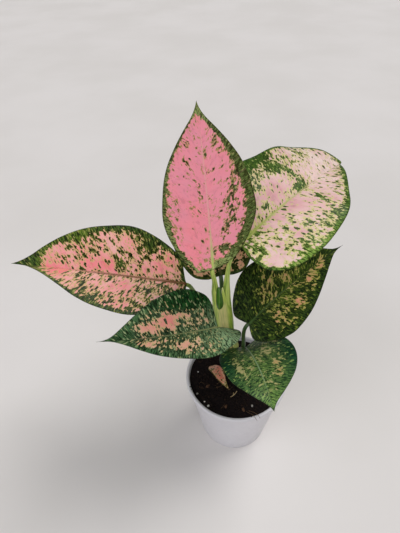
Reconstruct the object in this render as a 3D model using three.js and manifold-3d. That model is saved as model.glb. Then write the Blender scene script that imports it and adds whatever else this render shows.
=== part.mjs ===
// A chinese evergreen in a white plastic pot: eight variegated leaves on sheathed petioles round a short cane.
// Millimetres, +Z up. The origin is the middle of the pot's underside. -Y is the front.

import * as THREE from 'three';
import { ParametricGeometry } from 'three/addons/geometries/ParametricGeometry.js';
import { mergeVertices } from 'three/addons/utils/BufferGeometryUtils.js';
import Module from 'manifold-3d';

const wasm = await Module();
wasm.setup();

// ---- driving dimensions -------------------------------------------------------------------------------------

const GAP = 0.3; // kept between pieces that touch
const WELD = 1e-4; // points nearer than this are one point

const POT_HEIGHT = 100;
const POT_BASE_RADIUS = 41;
const POT_RIM_RADIUS = 58;
const POT_RIM_DEPTH = 6;
const POT_WALL = 1.6;
const POT_FLOOR = 3;
const POT_RECESS = 1.2; // the underside is hollowed between the foot ring and the middle pad
const POT_SEGMENTS = 48;
const DRAIN_HOLES = 6;
const DRAIN_RADIUS = 4;
const DRAIN_CIRCLE = 25;

const SOIL_LEVEL = 94.5; // the soil at the pot wall
const SOIL_CROWN = 0.8; // how far the soil rises to the middle
const SOIL_SEGMENTS = 40;

const CANE_FOOT = 66; // the cane's lower end, down in the soil
const CANE_TOP = 178;
const CANE_RADII = [[CANE_FOOT, 6.2], [110, 5.6], [150, 4.6], [CANE_TOP, 3]]; // height, radius
const BUNDLE_AXIS = [[1, 2, 60], [-3, 1.5, 115], [-8, 1, 150], [-14, 0, 190], [-16.5, -1, 250]];

const SHEATH_RADIUS = 3.2; // a petiole where it hugs the cane
const HUG_GAP = 0.5; // between the cane and a petiole
const PETIOLE_RADIUS = 1.9; // and where it meets its blade
const BEFORE_BLADE = 3; // this far before the blade it is in line with the midrib
const PETIOLE_DIP = 1.5; // and this much below it
const UNDER_BLADE = 4; // how far its end runs on under the midrib

const PAIR_FOOT = 196; // above the cane the two youngest petioles stand side by side up to here
const PAIR_TOP = 238;
const PAIR_RADIUS = 4.7;

const SPEAR_FOOT = 192; // the next leaf, still rolled, in the groove in front of that pair
const SPEAR_TIP = 247;
const SPEAR_RADIUS = 2.2;
const SPEAR_FORWARD = 5.4;

const BLADE_THICKNESS = 0.7;
const BLADE_ROWS = 20; // from base to tip
const HALF_COLUMNS = 3; // from midrib to margin
const VEIN_SLANT = 0.14; // how far a side vein runs forward before it meets the margin, in blade lengths

// Each leaf. base is where the petiole meets the blade; heading is the blade's compass direction from +X towards
// +Y; pitch is its rise there; roll lifts its left side; bend curves it down, sweep to the left and twist turns
// it, each over the whole length; fold lifts both halves from the midrib; curl droops the margins. left and
// right are half widths, widest says how far along, and lobes, shoulders and points shape each side's outline.
// The petiole hugs the cane at bearing from its node up to leaves, or stands in the pair above the cane, on the
// left (-1) or the right (1), and then passes the via points. An abrupt one meets its blade at an angle.
const LEAVES = {
  centre_leaf: {
    base: [-27, -15, 279.5], heading: 98, pitch: 68, roll: 4, length: 134, left: 38.5, right: 40, bend: 4, fold: 8,
    curl: 0.05, lobes: [0, -0.04], sweep: 2, twist: 2, widest: 0.37, shoulders: [0.67, 0.55], points: [1.18, 0.95],
    bearing: 190, node: 158, pair: -1, via: [[-24.5, -9, 260]], colour: 0xe0698a,
  },
  upper_right_leaf: {
    base: [-3, 6, 290], heading: 35, pitch: 25, roll: 30, length: 171, left: 52, right: 53.5, bend: 44, fold: 4,
    curl: 0.06, lobes: [0.05, 0.02], sweep: 9, twist: -6, widest: 0.38, shoulders: [1, 1.05], points: [1.28, 1.13],
    bearing: 342, node: 148, pair: 1, via: [[-8.5, 2, 262], [-5, 5, 278]], colour: 0xe9b9bd,
  },
  left_leaf: {
    base: [-51.5, 9.5, 240], heading: 188, pitch: 20, roll: -29, length: 153, left: 39.5, right: 47, bend: 0,
    fold: 15, curl: 0.03, lobes: [-0.02, -0.04], sweep: 2, twist: 0, widest: 0.38, shoulders: [0.67, 0.67],
    points: [1.75, 0.95], bearing: 134, node: 128, leaves: 150, via: [[-34, 17, 196], [-46, 15, 226]],
    colour: 0xd9737f,
  },
  lower_left_leaf: {
    base: [-22.5, -18, 207.5], heading: 210, pitch: 19, roll: -21, length: 117, left: 36.5, right: 41, bend: -2,
    fold: 29, curl: 0.03, lobes: [0.15, -0.02], sweep: -9, twist: -1, widest: 0.29, shoulders: [1.05, 0.92],
    points: [1.6, 1.25], bearing: 243, node: 118, leaves: 158, via: [[-18, -13.5, 192]], colour: 0x6d7a4f,
  },
  right_leaf: {
    base: [10, -2.5, 192.5], heading: 41, pitch: 18, roll: 33, length: 135, left: 44, right: 39.5, bend: 0, fold: 4,
    curl: 0.05, lobes: [0.04, 0.06], sweep: -12, twist: 14, widest: 0.28, shoulders: [0.87, 0.95],
    points: [1.26, 1.55], bearing: 30, node: 110, leaves: 122, via: [[6.5, 2, 152], [5.5, 1, 172]],
    colour: 0x25402b,
  },
  lower_right_leaf: {
    base: [8, -7, 160], heading: -76, pitch: 33, roll: 2, length: 86, left: 41.5, right: 35.5, bend: 45, fold: 11,
    curl: 0.03, lobes: [0.08, 0.01], sweep: -8, twist: 5, widest: 0.35, shoulders: [1.08, 1], points: [1.05, 1.02],
    bearing: 290, node: 102, leaves: 124, via: [[2.5, -7.5, 144]], colour: 0x2f5a34,
  },
  back_leaf: {
    base: [-18, 19, 241], heading: 100, pitch: 33, roll: -2, length: 134, left: 42, right: 39.5, bend: 25,
    fold: 9.5, curl: 0.05, lobes: [0.02, 0.01], sweep: 0, twist: 0, widest: 0.35, shoulders: [1.03, 1],
    points: [1, 1], bearing: 86, node: 138, leaves: 194, via: [[-17, 12, 222]], colour: 0x4a4a35,
  },
  basal_leaf: {
    base: [-28, 13, 101.5], heading: -58, pitch: 58, roll: 0, length: 44, left: 8.5, right: 12, bend: 132, fold: 6,
    curl: 0.03, lobes: [0, 0], sweep: 0, twist: 0, widest: 0.36, shoulders: [0.9, 0.9], points: [1.1, 1.1],
    abrupt: true, sheath: 2.2, neck: 1.2, bearing: 165, node: 97.5, leaves: 101, via: [[-19, 8, 99.5]],
    colour: 0xb5524a,
  },
};

// ---- closed meshes ------------------------------------------------------------------------------------------

/** Welds a geometry, drops flat triangles and turns its faces outwards. */
function closed(geometry) {
  const bare = geometry.clone();
  bare.deleteAttribute('normal');
  bare.deleteAttribute('uv');
  const welded = mergeVertices(bare, WELD);
  const points = welded.getAttribute('position');
  const index = [];
  const [a, b, c] = [new THREE.Vector3(), new THREE.Vector3(), new THREE.Vector3()];
  let volume = 0;
  for (let i = 0; i < welded.index.count; i += 3) {
    const corner = [0, 1, 2].map((k) => welded.index.getX(i + k));
    if (new Set(corner).size < 3) continue;
    index.push(...corner);
    a.fromBufferAttribute(points, corner[0]);
    b.fromBufferAttribute(points, corner[1]);
    c.fromBufferAttribute(points, corner[2]);
    volume += a.dot(b.cross(c));
  }
  if (volume < 0) index.reverse();
  welded.setIndex(index);
  welded.computeVertexNormals();
  return welded;
}

/** The solid of a closed geometry. */
function solid(geometry) {
  const { index, attributes } = closed(geometry);
  return new wasm.Manifold(new wasm.Mesh({
    numProp: 3,
    vertProperties: new Float32Array(attributes.position.array),
    triVerts: new Uint32Array(index.array),
  }));
}

/** A geometry from a solid. */
function geometryOf(body) {
  const mesh = body.getMesh();
  const geometry = new THREE.BufferGeometry();
  geometry.setAttribute('position', new THREE.BufferAttribute(new Float32Array(mesh.vertProperties), 3));
  geometry.setIndex(new THREE.BufferAttribute(new Uint32Array(mesh.triVerts), 1));
  geometry.computeVertexNormals();
  return geometry;
}

/** A body of revolution about Z from [radius, height] points that start and end on the axis. */
function lathe(profile, segments) {
  const outline = profile.map(([radius, height]) => new THREE.Vector2(radius, height));
  return new THREE.LatheGeometry(outline, segments).rotateX(Math.PI / 2);
}

/** A tapered round body along a curve: radiusAt takes 0 at its start and 1 at its end. */
function taperedTube(curve, radiusAt, steps, sides) {
  const { normals, binormals } = curve.computeFrenetFrames(steps, false);
  const place = (across, along, target) => {
    const ring = Math.min(Math.max(Math.round(along * (steps + 2)) - 1, 0), steps);
    target.copy(curve.getPointAt(ring / steps));
    if (along === 0 || along === 1) return;
    const turn = 2 * Math.PI * (Math.round(across * sides) % sides) / sides;
    target.addScaledVector(normals[ring], radiusAt(ring / steps) * Math.cos(turn));
    target.addScaledVector(binormals[ring], radiusAt(ring / steps) * Math.sin(turn));
  };
  return closed(new ParametricGeometry(place, sides, steps + 2));
}

/** Straight lines between [at, value] pairs in rising order. */
function between(pairs, at) {
  const next = pairs.findIndex(([place]) => place >= at);
  if (next === 0) return pairs[0][1];
  if (next < 0) return pairs[pairs.length - 1][1];
  const [[a, low], [b, high]] = [pairs[next - 1], pairs[next]];
  return low + (high - low) * (at - a) / (b - a);
}

// ---- blades -------------------------------------------------------------------------------------------------

/** One side of a blade's outline, from the petiole to the tip: x in blade lengths, y in half widths. */
function halfOutline(lobe, widest, shoulder, point) {
  const reach = widest / 0.36;
  const base = [
    [0, 0], [-0.55 * lobe, 0.14], [-lobe, 0.36], [0.02 - 0.6 * lobe, 0.62 * shoulder],
    [0.1 * reach, 0.83 * shoulder ** 0.6], [0.22 * reach, 0.96 * shoulder ** 0.2], [widest, 1],
  ];
  const taper = [[0.27, 0.93], [0.46, 0.8], [0.63, 0.59], [0.77, 0.37], [0.89, 0.15], [0.955, 0.05]];
  const tip = taper.map(([along, width]) => [widest + (1 - widest) * along, width ** point]);
  return new THREE.SplineCurve([...base, ...tip, [1, 0]].map(([x, y]) => new THREE.Vector2(x, y)));
}

/** Gives (along, across, lift) in mm -> world point on a leaf's curved blade. */
function bladeSurface(leaf) {
  const { heading, pitch, roll, length, bend, sweep, twist, fold, curl } = leaf;
  const [h, p, r] = [heading, pitch, roll].map(THREE.MathUtils.degToRad);
  const [turnDown, turnLeft, turnOver, tilt] = [bend, sweep, twist, fold].map(THREE.MathUtils.degToRad);
  const forward = new THREE.Vector3(Math.cos(p) * Math.cos(h), Math.cos(p) * Math.sin(h), Math.sin(p));
  const flatUp = new THREE.Vector3(-Math.sin(p) * Math.cos(h), -Math.sin(p) * Math.sin(h), Math.cos(p));
  const flatLeft = flatUp.clone().cross(forward);
  const left = flatLeft.clone().multiplyScalar(Math.cos(r)).addScaledVector(flatUp, Math.sin(r));
  const up = flatUp.clone().multiplyScalar(Math.cos(r)).addScaledVector(flatLeft, -Math.sin(r));
  const halfWidth = (leaf.left + leaf.right) / 2;
  const STEPS = 40;

  const midribAt = (along) => {
    const place = new THREE.Vector3(Math.min(along, 0), 0, 0);
    const reach = Math.max(along, 0);
    const step = reach / STEPS;
    for (let i = 0; i < STEPS; i += 1) {
      const part = (reach / length) * (i + 0.5) / STEPS;
      const [down, side] = [turnDown * part, turnLeft * part];
      place.x += step * Math.cos(down) * Math.cos(side);
      place.y += step * Math.cos(down) * Math.sin(side);
      place.z -= step * Math.sin(down);
    }
    return place;
  };

  return (along, across, lift) => {
    const part = Math.max(along / length, 0);
    const [down, side, over] = [turnDown * part, turnLeft * part, turnOver * part];
    const normal = new THREE.Vector3(Math.sin(down) * Math.cos(side), Math.sin(down) * Math.sin(side), Math.cos(down));
    const lateral = new THREE.Vector3(-Math.sin(side), Math.cos(side), 0);
    const turned = lateral.clone().multiplyScalar(Math.cos(over)).addScaledVector(normal, Math.sin(over));
    const raised = normal.clone().multiplyScalar(Math.cos(over)).addScaledVector(lateral, -Math.sin(over));
    const rise = Math.abs(across) * Math.sin(tilt) - curl * (across / halfWidth) ** 2 * halfWidth + lift;
    const local = midribAt(along).addScaledVector(turned, across * Math.cos(tilt)).addScaledVector(raised, rise);
    return new THREE.Vector3(...leaf.base)
      .addScaledVector(forward, local.x)
      .addScaledVector(left, local.y)
      .addScaledVector(up, local.z);
  };
}

/** A leaf's blade as a thin closed body. */
function blade(leaf) {
  const at = bladeSurface(leaf);
  const sides = [0, 1].map((k) => halfOutline(leaf.lobes[k], leaf.widest, leaf.shoulders[k], leaf.points[k]));
  const widths = [leaf.left, -leaf.right];
  const columns = 2 * HALF_COLUMNS; // across the blade, over the top and back underneath
  const around = 2 * columns + 2;
  const place = (turn, along, target) => {
    const k = Math.round(turn * around) % around;
    const onTop = k <= columns;
    const column = (onTop ? k : around - 1 - k) - HALF_COLUMNS;
    const side = column > 0 ? 0 : 1;
    const edge = sides[side].getPoint(along);
    const root = Math.max(0, edge.x - VEIN_SLANT * Math.sin(Math.PI * Math.min(Math.max(edge.x, 0), 1)) ** 0.7);
    const share = Math.abs(column) / HALF_COLUMNS;
    const s = THREE.MathUtils.lerp(root, edge.x, share) * leaf.length;
    const t = edge.y * widths[side] * share;
    const pole = along === 0 || along === 1;
    const lift = pole ? 0 : (onTop ? 0.5 : -0.5) * BLADE_THICKNESS;
    target.copy(at(s, t, lift));
  };
  return closed(new ParametricGeometry(place, around, BLADE_ROWS));
}

// ---- cane, petioles, spear ----------------------------------------------------------------------------------

const bundleAxis = new THREE.CatmullRomCurve3(BUNDLE_AXIS.map((point) => new THREE.Vector3(...point)));
const axisSamples = bundleAxis.getPoints(200);

/** The middle of the bundle of petioles at a height. */
function bundleAt(height) {
  const next = Math.max(1, axisSamples.findIndex((point) => point.z >= height));
  const [low, high] = [axisSamples[next - 1], axisSamples[next]];
  return low.clone().lerp(high, (height - low.z) / (high.z - low.z));
}

/** A point on the ring of petioles that hug the cane, for one of a radius. */
function hugging(bearing, radius, height) {
  const turn = THREE.MathUtils.degToRad(bearing);
  const distance = between(CANE_RADII, height) + HUG_GAP + radius;
  return bundleAt(height).add(new THREE.Vector3(Math.cos(turn) * distance, Math.sin(turn) * distance, 0));
}

/** A petiole's centre line, from its node on the cane to just under the midrib. */
function petioleCurve(leaf) {
  const at = bladeSurface(leaf);
  const drop = -(BLADE_THICKNESS / 2 + GAP + (leaf.neck ?? PETIOLE_RADIUS));
  const HUG_STEP = 14;
  const upTo = leaf.pair ? CANE_TOP - 2 : leaf.leaves;
  const count = Math.max(1, Math.round((upTo - leaf.node) / HUG_STEP));
  const points = [];
  for (let i = 0; i <= count; i += 1) {
    const height = THREE.MathUtils.lerp(leaf.node, upTo, i / count);
    points.push(hugging(leaf.bearing, leaf.sheath ?? SHEATH_RADIUS, height));
  }
  if (leaf.pair) {
    const aside = new THREE.Vector3(leaf.pair * (PAIR_RADIUS + GAP), 0, 0);
    for (const height of [PAIR_FOOT, (PAIR_FOOT + PAIR_TOP) / 2, PAIR_TOP]) points.push(bundleAt(height).add(aside));
  }
  points.push(...leaf.via.map((point) => new THREE.Vector3(...point)));
  if (!leaf.abrupt) points.push(at(-BEFORE_BLADE, 0, drop - PETIOLE_DIP));
  points.push(at(Math.min(UNDER_BLADE, 0.04 * leaf.length), 0, drop));
  return new THREE.CatmullRomCurve3(points, false, 'centripetal');
}

/** A leaf's petiole: thick where it sheathes the cane, slender under its blade. */
function petiole(leaf) {
  const curve = petioleCurve(leaf);
  const sheath = leaf.sheath ?? SHEATH_RADIUS;
  const neck = leaf.neck ?? PETIOLE_RADIUS;
  const end = curve.getPointAt(1).z;
  const radii = leaf.pair
    ? [[CANE_TOP, sheath], [PAIR_FOOT, PAIR_RADIUS], [PAIR_TOP, PAIR_RADIUS - 0.4], [PAIR_TOP + 20, 2.5], [end, neck]]
    : [[leaf.leaves, sheath], [(leaf.leaves + end) / 2, (sheath + 2 * neck) / 3], [end, neck]];
  const steps = Math.round(curve.getLength() / 8) + 3;
  return taperedTube(curve, (share) => between(radii, curve.getPointAt(share).z), steps, 10);
}

/** The short upright stem that carries every leaf. */
function cane() {
  const points = CANE_RADII.map(([height]) => bundleAt(height));
  const curve = new THREE.CatmullRomCurve3(points);
  const height = (share) => curve.getPointAt(share).z;
  return taperedTube(curve, (share) => between(CANE_RADII, height(share)), 14, 16);
}

/** The newest leaf, a rolled spindle in the groove between the two youngest petioles. */
function spear() {
  const forward = new THREE.Vector3(0, -SPEAR_FORWARD, 0);
  const heights = [0, 0.35, 0.7, 1].map((share) => THREE.MathUtils.lerp(SPEAR_FOOT, SPEAR_TIP, share));
  const curve = new THREE.CatmullRomCurve3(heights.map((height) => bundleAt(height).add(forward)));
  const radiusAt = (share) => SPEAR_RADIUS * Math.min(1, 0.7 + 2 * share) * Math.sqrt(Math.max(0.02, 1 - share ** 3));
  return taperedTube(curve, radiusAt, 12, 10);
}

// ---- pot and soil -------------------------------------------------------------------------------------------

const wallOuter = (height) => {
  const top = POT_HEIGHT - POT_RIM_DEPTH;
  return POT_BASE_RADIUS + (POT_RIM_RADIUS - 2.5 - POT_BASE_RADIUS) * height / top;
};
const wallInner = (height) => wallOuter(height) - POT_WALL;

/** The pot: tapered wall, rolled rim, hollowed underside and drain holes. */
function pot() {
  const rimFoot = POT_HEIGHT - POT_RIM_DEPTH;
  const profile = [
    [0, 0], [12, 0], [13, POT_RECESS], [POT_BASE_RADIUS - 5.5, POT_RECESS], [POT_BASE_RADIUS - 4.5, 0],
    [POT_BASE_RADIUS - 1, 0], [POT_BASE_RADIUS, 1], [wallOuter(rimFoot - 0.6), rimFoot - 0.6],
    [POT_RIM_RADIUS - 0.6, rimFoot + 0.2], [POT_RIM_RADIUS, rimFoot + 1], [POT_RIM_RADIUS, POT_HEIGHT - 1.4],
    [POT_RIM_RADIUS - 0.6, POT_HEIGHT - 0.4], [POT_RIM_RADIUS - 1.8, POT_HEIGHT],
    [POT_RIM_RADIUS - 3.2, POT_HEIGHT - 0.3], [wallInner(POT_HEIGHT - 1.4), POT_HEIGHT - 1.4],
    [wallInner(POT_FLOOR + 1), POT_FLOOR + 1], [wallInner(POT_FLOOR) - 1.2, POT_FLOOR], [0, POT_FLOOR],
  ];
  let body = solid(lathe(profile, POT_SEGMENTS));
  for (let i = 0; i < DRAIN_HOLES; i += 1) {
    const turn = 2 * Math.PI * i / DRAIN_HOLES;
    const hole = new THREE.CylinderGeometry(DRAIN_RADIUS, DRAIN_RADIUS, 3 * POT_FLOOR, 16).rotateX(Math.PI / 2);
    hole.translate(DRAIN_CIRCLE * Math.cos(turn), DRAIN_CIRCLE * Math.sin(turn), 0);
    body = body.subtract(solid(hole));
  }
  return geometryOf(body);
}

/** The height of the soil's surface at a distance from the middle. */
const soilTop = (radius) => SOIL_LEVEL + SOIL_CROWN * (1 - (radius / wallInner(SOIL_LEVEL)) ** 2);

/** The potting mix, with the cane's socket. */
function soil() {
  const floor = POT_FLOOR + GAP;
  const edge = wallInner(SOIL_LEVEL) - GAP;
  const profile = [
    [0, floor], [wallInner(floor) - 2.2, floor], [wallInner(floor + 1.8) - GAP, floor + 1.8],
    [edge, SOIL_LEVEL], ...[0.8, 0.55, 0.3].map((share) => [share * edge, soilTop(share * edge)]), [0, soilTop(0)],
  ];
  const points = [CANE_FOOT - GAP, 80, 100].map((height) => bundleAt(height));
  const curve = new THREE.CatmullRomCurve3(points);
  const socket = taperedTube(curve, (share) => between(CANE_RADII, curve.getPointAt(share).z) + GAP, 6, 16);
  return geometryOf(solid(lathe(profile, SOIL_SEGMENTS)).subtract(solid(socket)));
}

// ---- loose things on the soil -------------------------------------------------------------------------------

/** A small lump resting on the soil: its place, size, flatness and turn in degrees. */
function lump([x, y, size, flatness, turn], shape) {
  const body = shape.rotateZ(THREE.MathUtils.degToRad(turn)).scale(size, size, size * flatness);
  body.computeBoundingBox();
  return closed(body.translate(x, y, soilTop(Math.hypot(x, y)) + GAP - body.boundingBox.min.z));
}

const PERLITE = [
  [-45.5, -21, 1.3, 0.8, 10], [-33.5, -37, 1.3, 0.8, 50], [15, -38.5, 1.4, 0.7, 80], [-37.5, -31.5, 0.9, 0.8, 20],
  [36, 22, 1.2, 0.8, 35], [-20, 40, 1.3, 0.7, 65], [12, 42, 1, 0.8, 15], [-44, 8, 0.9, 0.8, 75],
];
const BARK = [
  [-33, -12, 2.4, 0.35, 30], [5, -42, 2.1, 0.3, 110], [-14, -38, 1.9, 0.4, 70], [30, 30, 2.6, 0.35, 20],
  [-30, 28, 2.3, 0.4, 140], [4, 36, 2.2, 0.35, 95],
];

/** A short pale twig lying on the soil. */
function twig() {
  const radius = 0.5;
  const rest = (x, y, raise) => new THREE.Vector3(x, y, soilTop(Math.hypot(x, y)) + GAP + radius + raise);
  const curve = new THREE.CatmullRomCurve3([rest(-7.5, -27, 0), rest(-3.5, -24, 0.4), rest(0, -20, 0)]);
  return taperedTube(curve, (share) => radius * (1 - 0.3 * share), 6, 6);
}

// ---- the plant ----------------------------------------------------------------------------------------------

const plant = new THREE.Group();

/** Adds one named piece with its own material. */
function piece(name, geometry, color, roughness) {
  const mesh = new THREE.Mesh(geometry, new THREE.MeshStandardMaterial({ color, roughness, metalness: 0 }));
  mesh.name = name;
  plant.add(mesh);
}

piece('pot', pot(), 0xe9e9ea, 0.35);
piece('soil', soil(), 0x17110e, 0.95);
piece('cane', cane(), 0x8a9a52, 0.5);
piece('spear', spear(), 0x3d6a1f, 0.4);
for (const [name, leaf] of Object.entries(LEAVES)) {
  piece(`${name}_petiole`, petiole(leaf), 0x8fa851, 0.4);
  piece(`${name}_blade`, blade(leaf), leaf.colour, 0.35);
}
PERLITE.forEach((grain, i) => {
  piece(`perlite_${i + 1}`, lump(grain, new THREE.IcosahedronGeometry(1, 0)), 0xeceae4, 0.8);
});
BARK.forEach((chip, i) => {
  piece(`bark_chip_${i + 1}`, lump(chip, new THREE.DodecahedronGeometry(1, 0)), 0x4a3526, 0.9);
});
piece('twig', twig(), 0xc9b48c, 0.8);

export default plant;
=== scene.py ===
"""A chinese evergreen in a white plastic pot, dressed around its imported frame.

Eight variegated leaves stand on sheathed petioles round a short cane, in dark potting mix with a few grains of
perlite, bark chips and a dry twig on it. Sizes in the classes are millimetres; meshes are written in metres.
"""

from __future__ import annotations

import logging
import math
import random
from dataclasses import dataclass, field
from enum import Enum
from functools import lru_cache

import bmesh
import bpy
import numpy as np
from mathutils import Matrix, Vector, noise

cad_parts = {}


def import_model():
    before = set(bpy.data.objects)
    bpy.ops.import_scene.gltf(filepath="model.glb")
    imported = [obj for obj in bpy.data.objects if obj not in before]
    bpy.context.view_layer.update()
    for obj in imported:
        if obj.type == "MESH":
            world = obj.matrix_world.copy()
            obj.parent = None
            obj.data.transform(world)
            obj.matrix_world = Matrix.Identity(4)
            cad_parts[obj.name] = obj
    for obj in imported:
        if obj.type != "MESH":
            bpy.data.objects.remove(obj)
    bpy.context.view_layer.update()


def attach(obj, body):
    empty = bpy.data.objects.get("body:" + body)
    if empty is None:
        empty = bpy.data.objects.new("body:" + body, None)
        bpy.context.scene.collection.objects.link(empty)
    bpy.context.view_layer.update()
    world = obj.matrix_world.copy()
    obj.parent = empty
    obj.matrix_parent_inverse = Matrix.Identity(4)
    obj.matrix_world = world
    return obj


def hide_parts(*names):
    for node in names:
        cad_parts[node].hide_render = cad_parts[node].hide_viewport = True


LOG = logging.getLogger("evergreen")
MM = 0.001
SLIVER = 1e-7  # a face thinner than this, in metres, is dropped
BODY = "root"
Colour = tuple[float, float, float, float]
Point = tuple[float, float, float]
Chip = tuple[float, float, float, float, float]  # across, back, half size, flatness, and turn in degrees


def srgb(red: int, green: int, blue: int) -> Colour:
    """Turns a screen colour of 0 to 255 into linear light.

    Args:
        red: The red part.
        green: The green part.
        blue: The blue part.

    Returns:
        The linear colour with an alpha of one.
    """
    parts = [value / 255 for value in (red, green, blue)]
    linear = [p / 12.92 if p <= 0.04045 else ((p + 0.055) / 1.055) ** 2.4 for p in parts]
    return (*linear, 1.0)


def smooth(low: float, high: float, value: np.ndarray) -> np.ndarray:
    """Rises from 0 at low to 1 at high with soft ends, for each value."""
    share = np.clip((value - low) / (high - low), 0.0, 1.0)
    return share * share * (3 - 2 * share)


# ---- curves ----


def turns(sides: int) -> np.ndarray:
    """Even directions round a full turn, in radians."""
    return np.linspace(0, 2 * math.pi, sides, endpoint=False)


def turned_from(bearing: np.ndarray, middle: float) -> np.ndarray:
    """How far compass directions are from one of them, in degrees from -180 to 180."""
    return (bearing - middle + 180) % 360 - 180


def even_spline(points: list[tuple[float, float]], share: np.ndarray) -> np.ndarray:
    """A smooth line through points that are passed at an even pace.

    Args:
        points: The points to pass.
        share: How far along, from 0 to 1.

    Returns:
        One point for each share.
    """
    knots = np.asarray(points, float)
    last = len(knots) - 1
    place = last * share
    start = np.minimum(np.floor(place).astype(int), last - 1)
    part = (place - start)[:, None]
    before, here = knots[np.maximum(start - 1, 0)], knots[start]
    there, after = knots[start + 1], knots[np.minimum(start + 2, last)]
    leave, arrive = (there - before) / 2, (after - here) / 2
    cubic = 2 * here - 2 * there + leave + arrive
    square = -3 * here + 3 * there - 2 * leave - arrive
    return cubic * part**3 + square * part**2 + leave * part + here


def path_through(points: list[np.ndarray], steps: int) -> np.ndarray:
    """A smooth path through points in space that doesn't overshoot them.

    Args:
        points: The points to pass.
        steps: How many even steps the path has.

    Returns:
        steps + 1 points, evenly spaced along the path.
    """
    knots = [2 * points[0] - points[1], *points, 2 * points[-1] - points[-2]]
    fine: list[np.ndarray] = []
    for first, second, third, fourth in zip(knots, knots[1:], knots[2:], knots[3:]):
        gaps = [max(np.linalg.norm(b - a) ** 0.5, 1e-3) for a, b in ((first, second), (second, third), (third, fourth))]
        leave = (second - first) / gaps[0] - (third - first) / (gaps[0] + gaps[1]) + (third - second) / gaps[1]
        arrive = (third - second) / gaps[1] - (fourth - second) / (gaps[1] + gaps[2]) + (fourth - third) / gaps[2]
        leave, arrive = leave * gaps[1], arrive * gaps[1]
        for part in np.linspace(0, 1, 24, endpoint=False):
            cubic = (2 * second - 2 * third + leave + arrive) * part**3
            fine.append(cubic + (-3 * second + 3 * third - 2 * leave - arrive) * part**2 + leave * part + second)
    fine.append(points[-1])
    track = np.array(fine)
    run = np.concatenate([[0], np.cumsum(np.linalg.norm(np.diff(track, axis=0), axis=1))])
    wanted = np.linspace(0, run[-1], steps + 1)
    return np.stack([np.interp(wanted, run, track[:, axis]) for axis in range(3)], axis=1)


def carried_frames(track: np.ndarray, outward: np.ndarray) -> tuple[np.ndarray, np.ndarray]:
    """Carries a direction along a path without twisting it.

    Args:
        track: The path.
        outward: The direction to carry, at the path's start.

    Returns:
        The carried direction and the one square to it and the path, at each point.
    """
    tangents = np.gradient(track, axis=0)
    tangents /= np.linalg.norm(tangents, axis=1)[:, None]
    first, second = [], []
    for tangent in tangents:
        outward = outward - tangent * np.dot(outward, tangent)
        outward = outward / np.linalg.norm(outward)
        first.append(outward)
        second.append(np.cross(tangent, outward))
    return np.array(first), np.array(second)


# ---- meshes ----


def stood(name: str, data: bpy.types.ID) -> bpy.types.Object:
    """Stands a new object in the scene.

    Args:
        name: The object's name.
        data: Its mesh, light or camera.

    Returns:
        The object.
    """
    made = bpy.data.objects.new(name, data)
    bpy.context.scene.collection.objects.link(made)
    return made


@dataclass
class Sheet:
    """Closed rows of points, with values that ride on them, which become part of a mesh."""

    points: np.ndarray
    values: dict[str, np.ndarray] = field(default_factory=dict)
    capped: bool = True


def mesh_of(name: str, sheets: list[Sheet], weld: float = 1e-3) -> bpy.types.Object:
    """Joins sheets of points, in millimetres, into one smooth object.

    Args:
        name: The object's name.
        sheets: The sheets, all with the same values.
        weld: Points nearer than this are one point.

    Returns:
        The object, in metres.
    """
    points: list[np.ndarray] = []
    faces: list[tuple[int, ...]] = []
    values: dict[str, list[np.ndarray]] = {key: [] for key in sheets[0].values}
    start = 0
    for sheet in sheets:
        rows, columns = sheet.points.shape[:2]
        grid = start + np.arange(rows * columns).reshape(rows, columns)
        for row in range(rows - 1):
            for column in range(columns):
                onward = (column + 1) % columns
                faces.append((grid[row, column], grid[row, onward], grid[row + 1, onward], grid[row + 1, column]))
        if sheet.capped:
            faces.append(tuple(grid[0][::-1]))
            faces.append(tuple(grid[-1]))
        points.append(sheet.points.reshape(-1, 3))
        for key, held in values.items():
            held.append(sheet.values[key].reshape(rows * columns, -1))
        start += rows * columns
    mesh = bpy.data.meshes.new(name)
    mesh.from_pydata((np.concatenate(points) * MM).tolist(), [], [tuple(int(i) for i in face) for face in faces])
    for key, held in values.items():
        stacked = np.concatenate(held).astype(np.float32)
        kind, slot = ("FLOAT_VECTOR", "vector") if stacked.shape[1] == 3 else ("FLOAT", "value")
        mesh.attributes.new(key, kind, "POINT").data.foreach_set(slot, stacked.ravel())
    work = bmesh.new()
    work.from_mesh(mesh)
    bmesh.ops.remove_doubles(work, verts=work.verts, dist=weld * MM)
    bmesh.ops.dissolve_degenerate(work, edges=work.edges, dist=SLIVER)
    bmesh.ops.recalc_face_normals(work, faces=work.faces)
    for face in work.faces:
        face.smooth = True
    work.to_mesh(mesh)
    work.free()
    return stood(name, mesh)


def dress(piece: bpy.types.Object, material: bpy.types.Material, nodes: list[str]) -> None:
    """Gives a piece its material and its place in the frame.

    Args:
        piece: The finished object.
        material: What it is made of.
        nodes: The frame's nodes that it stands for.
    """
    piece.data.materials.clear()
    piece.data.materials.append(material)
    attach(piece, BODY)
    if nodes:
        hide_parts(*nodes)


# ---- shader wiring ----

Socket = bpy.types.NodeSocket
Plug = Socket | float | tuple


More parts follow.
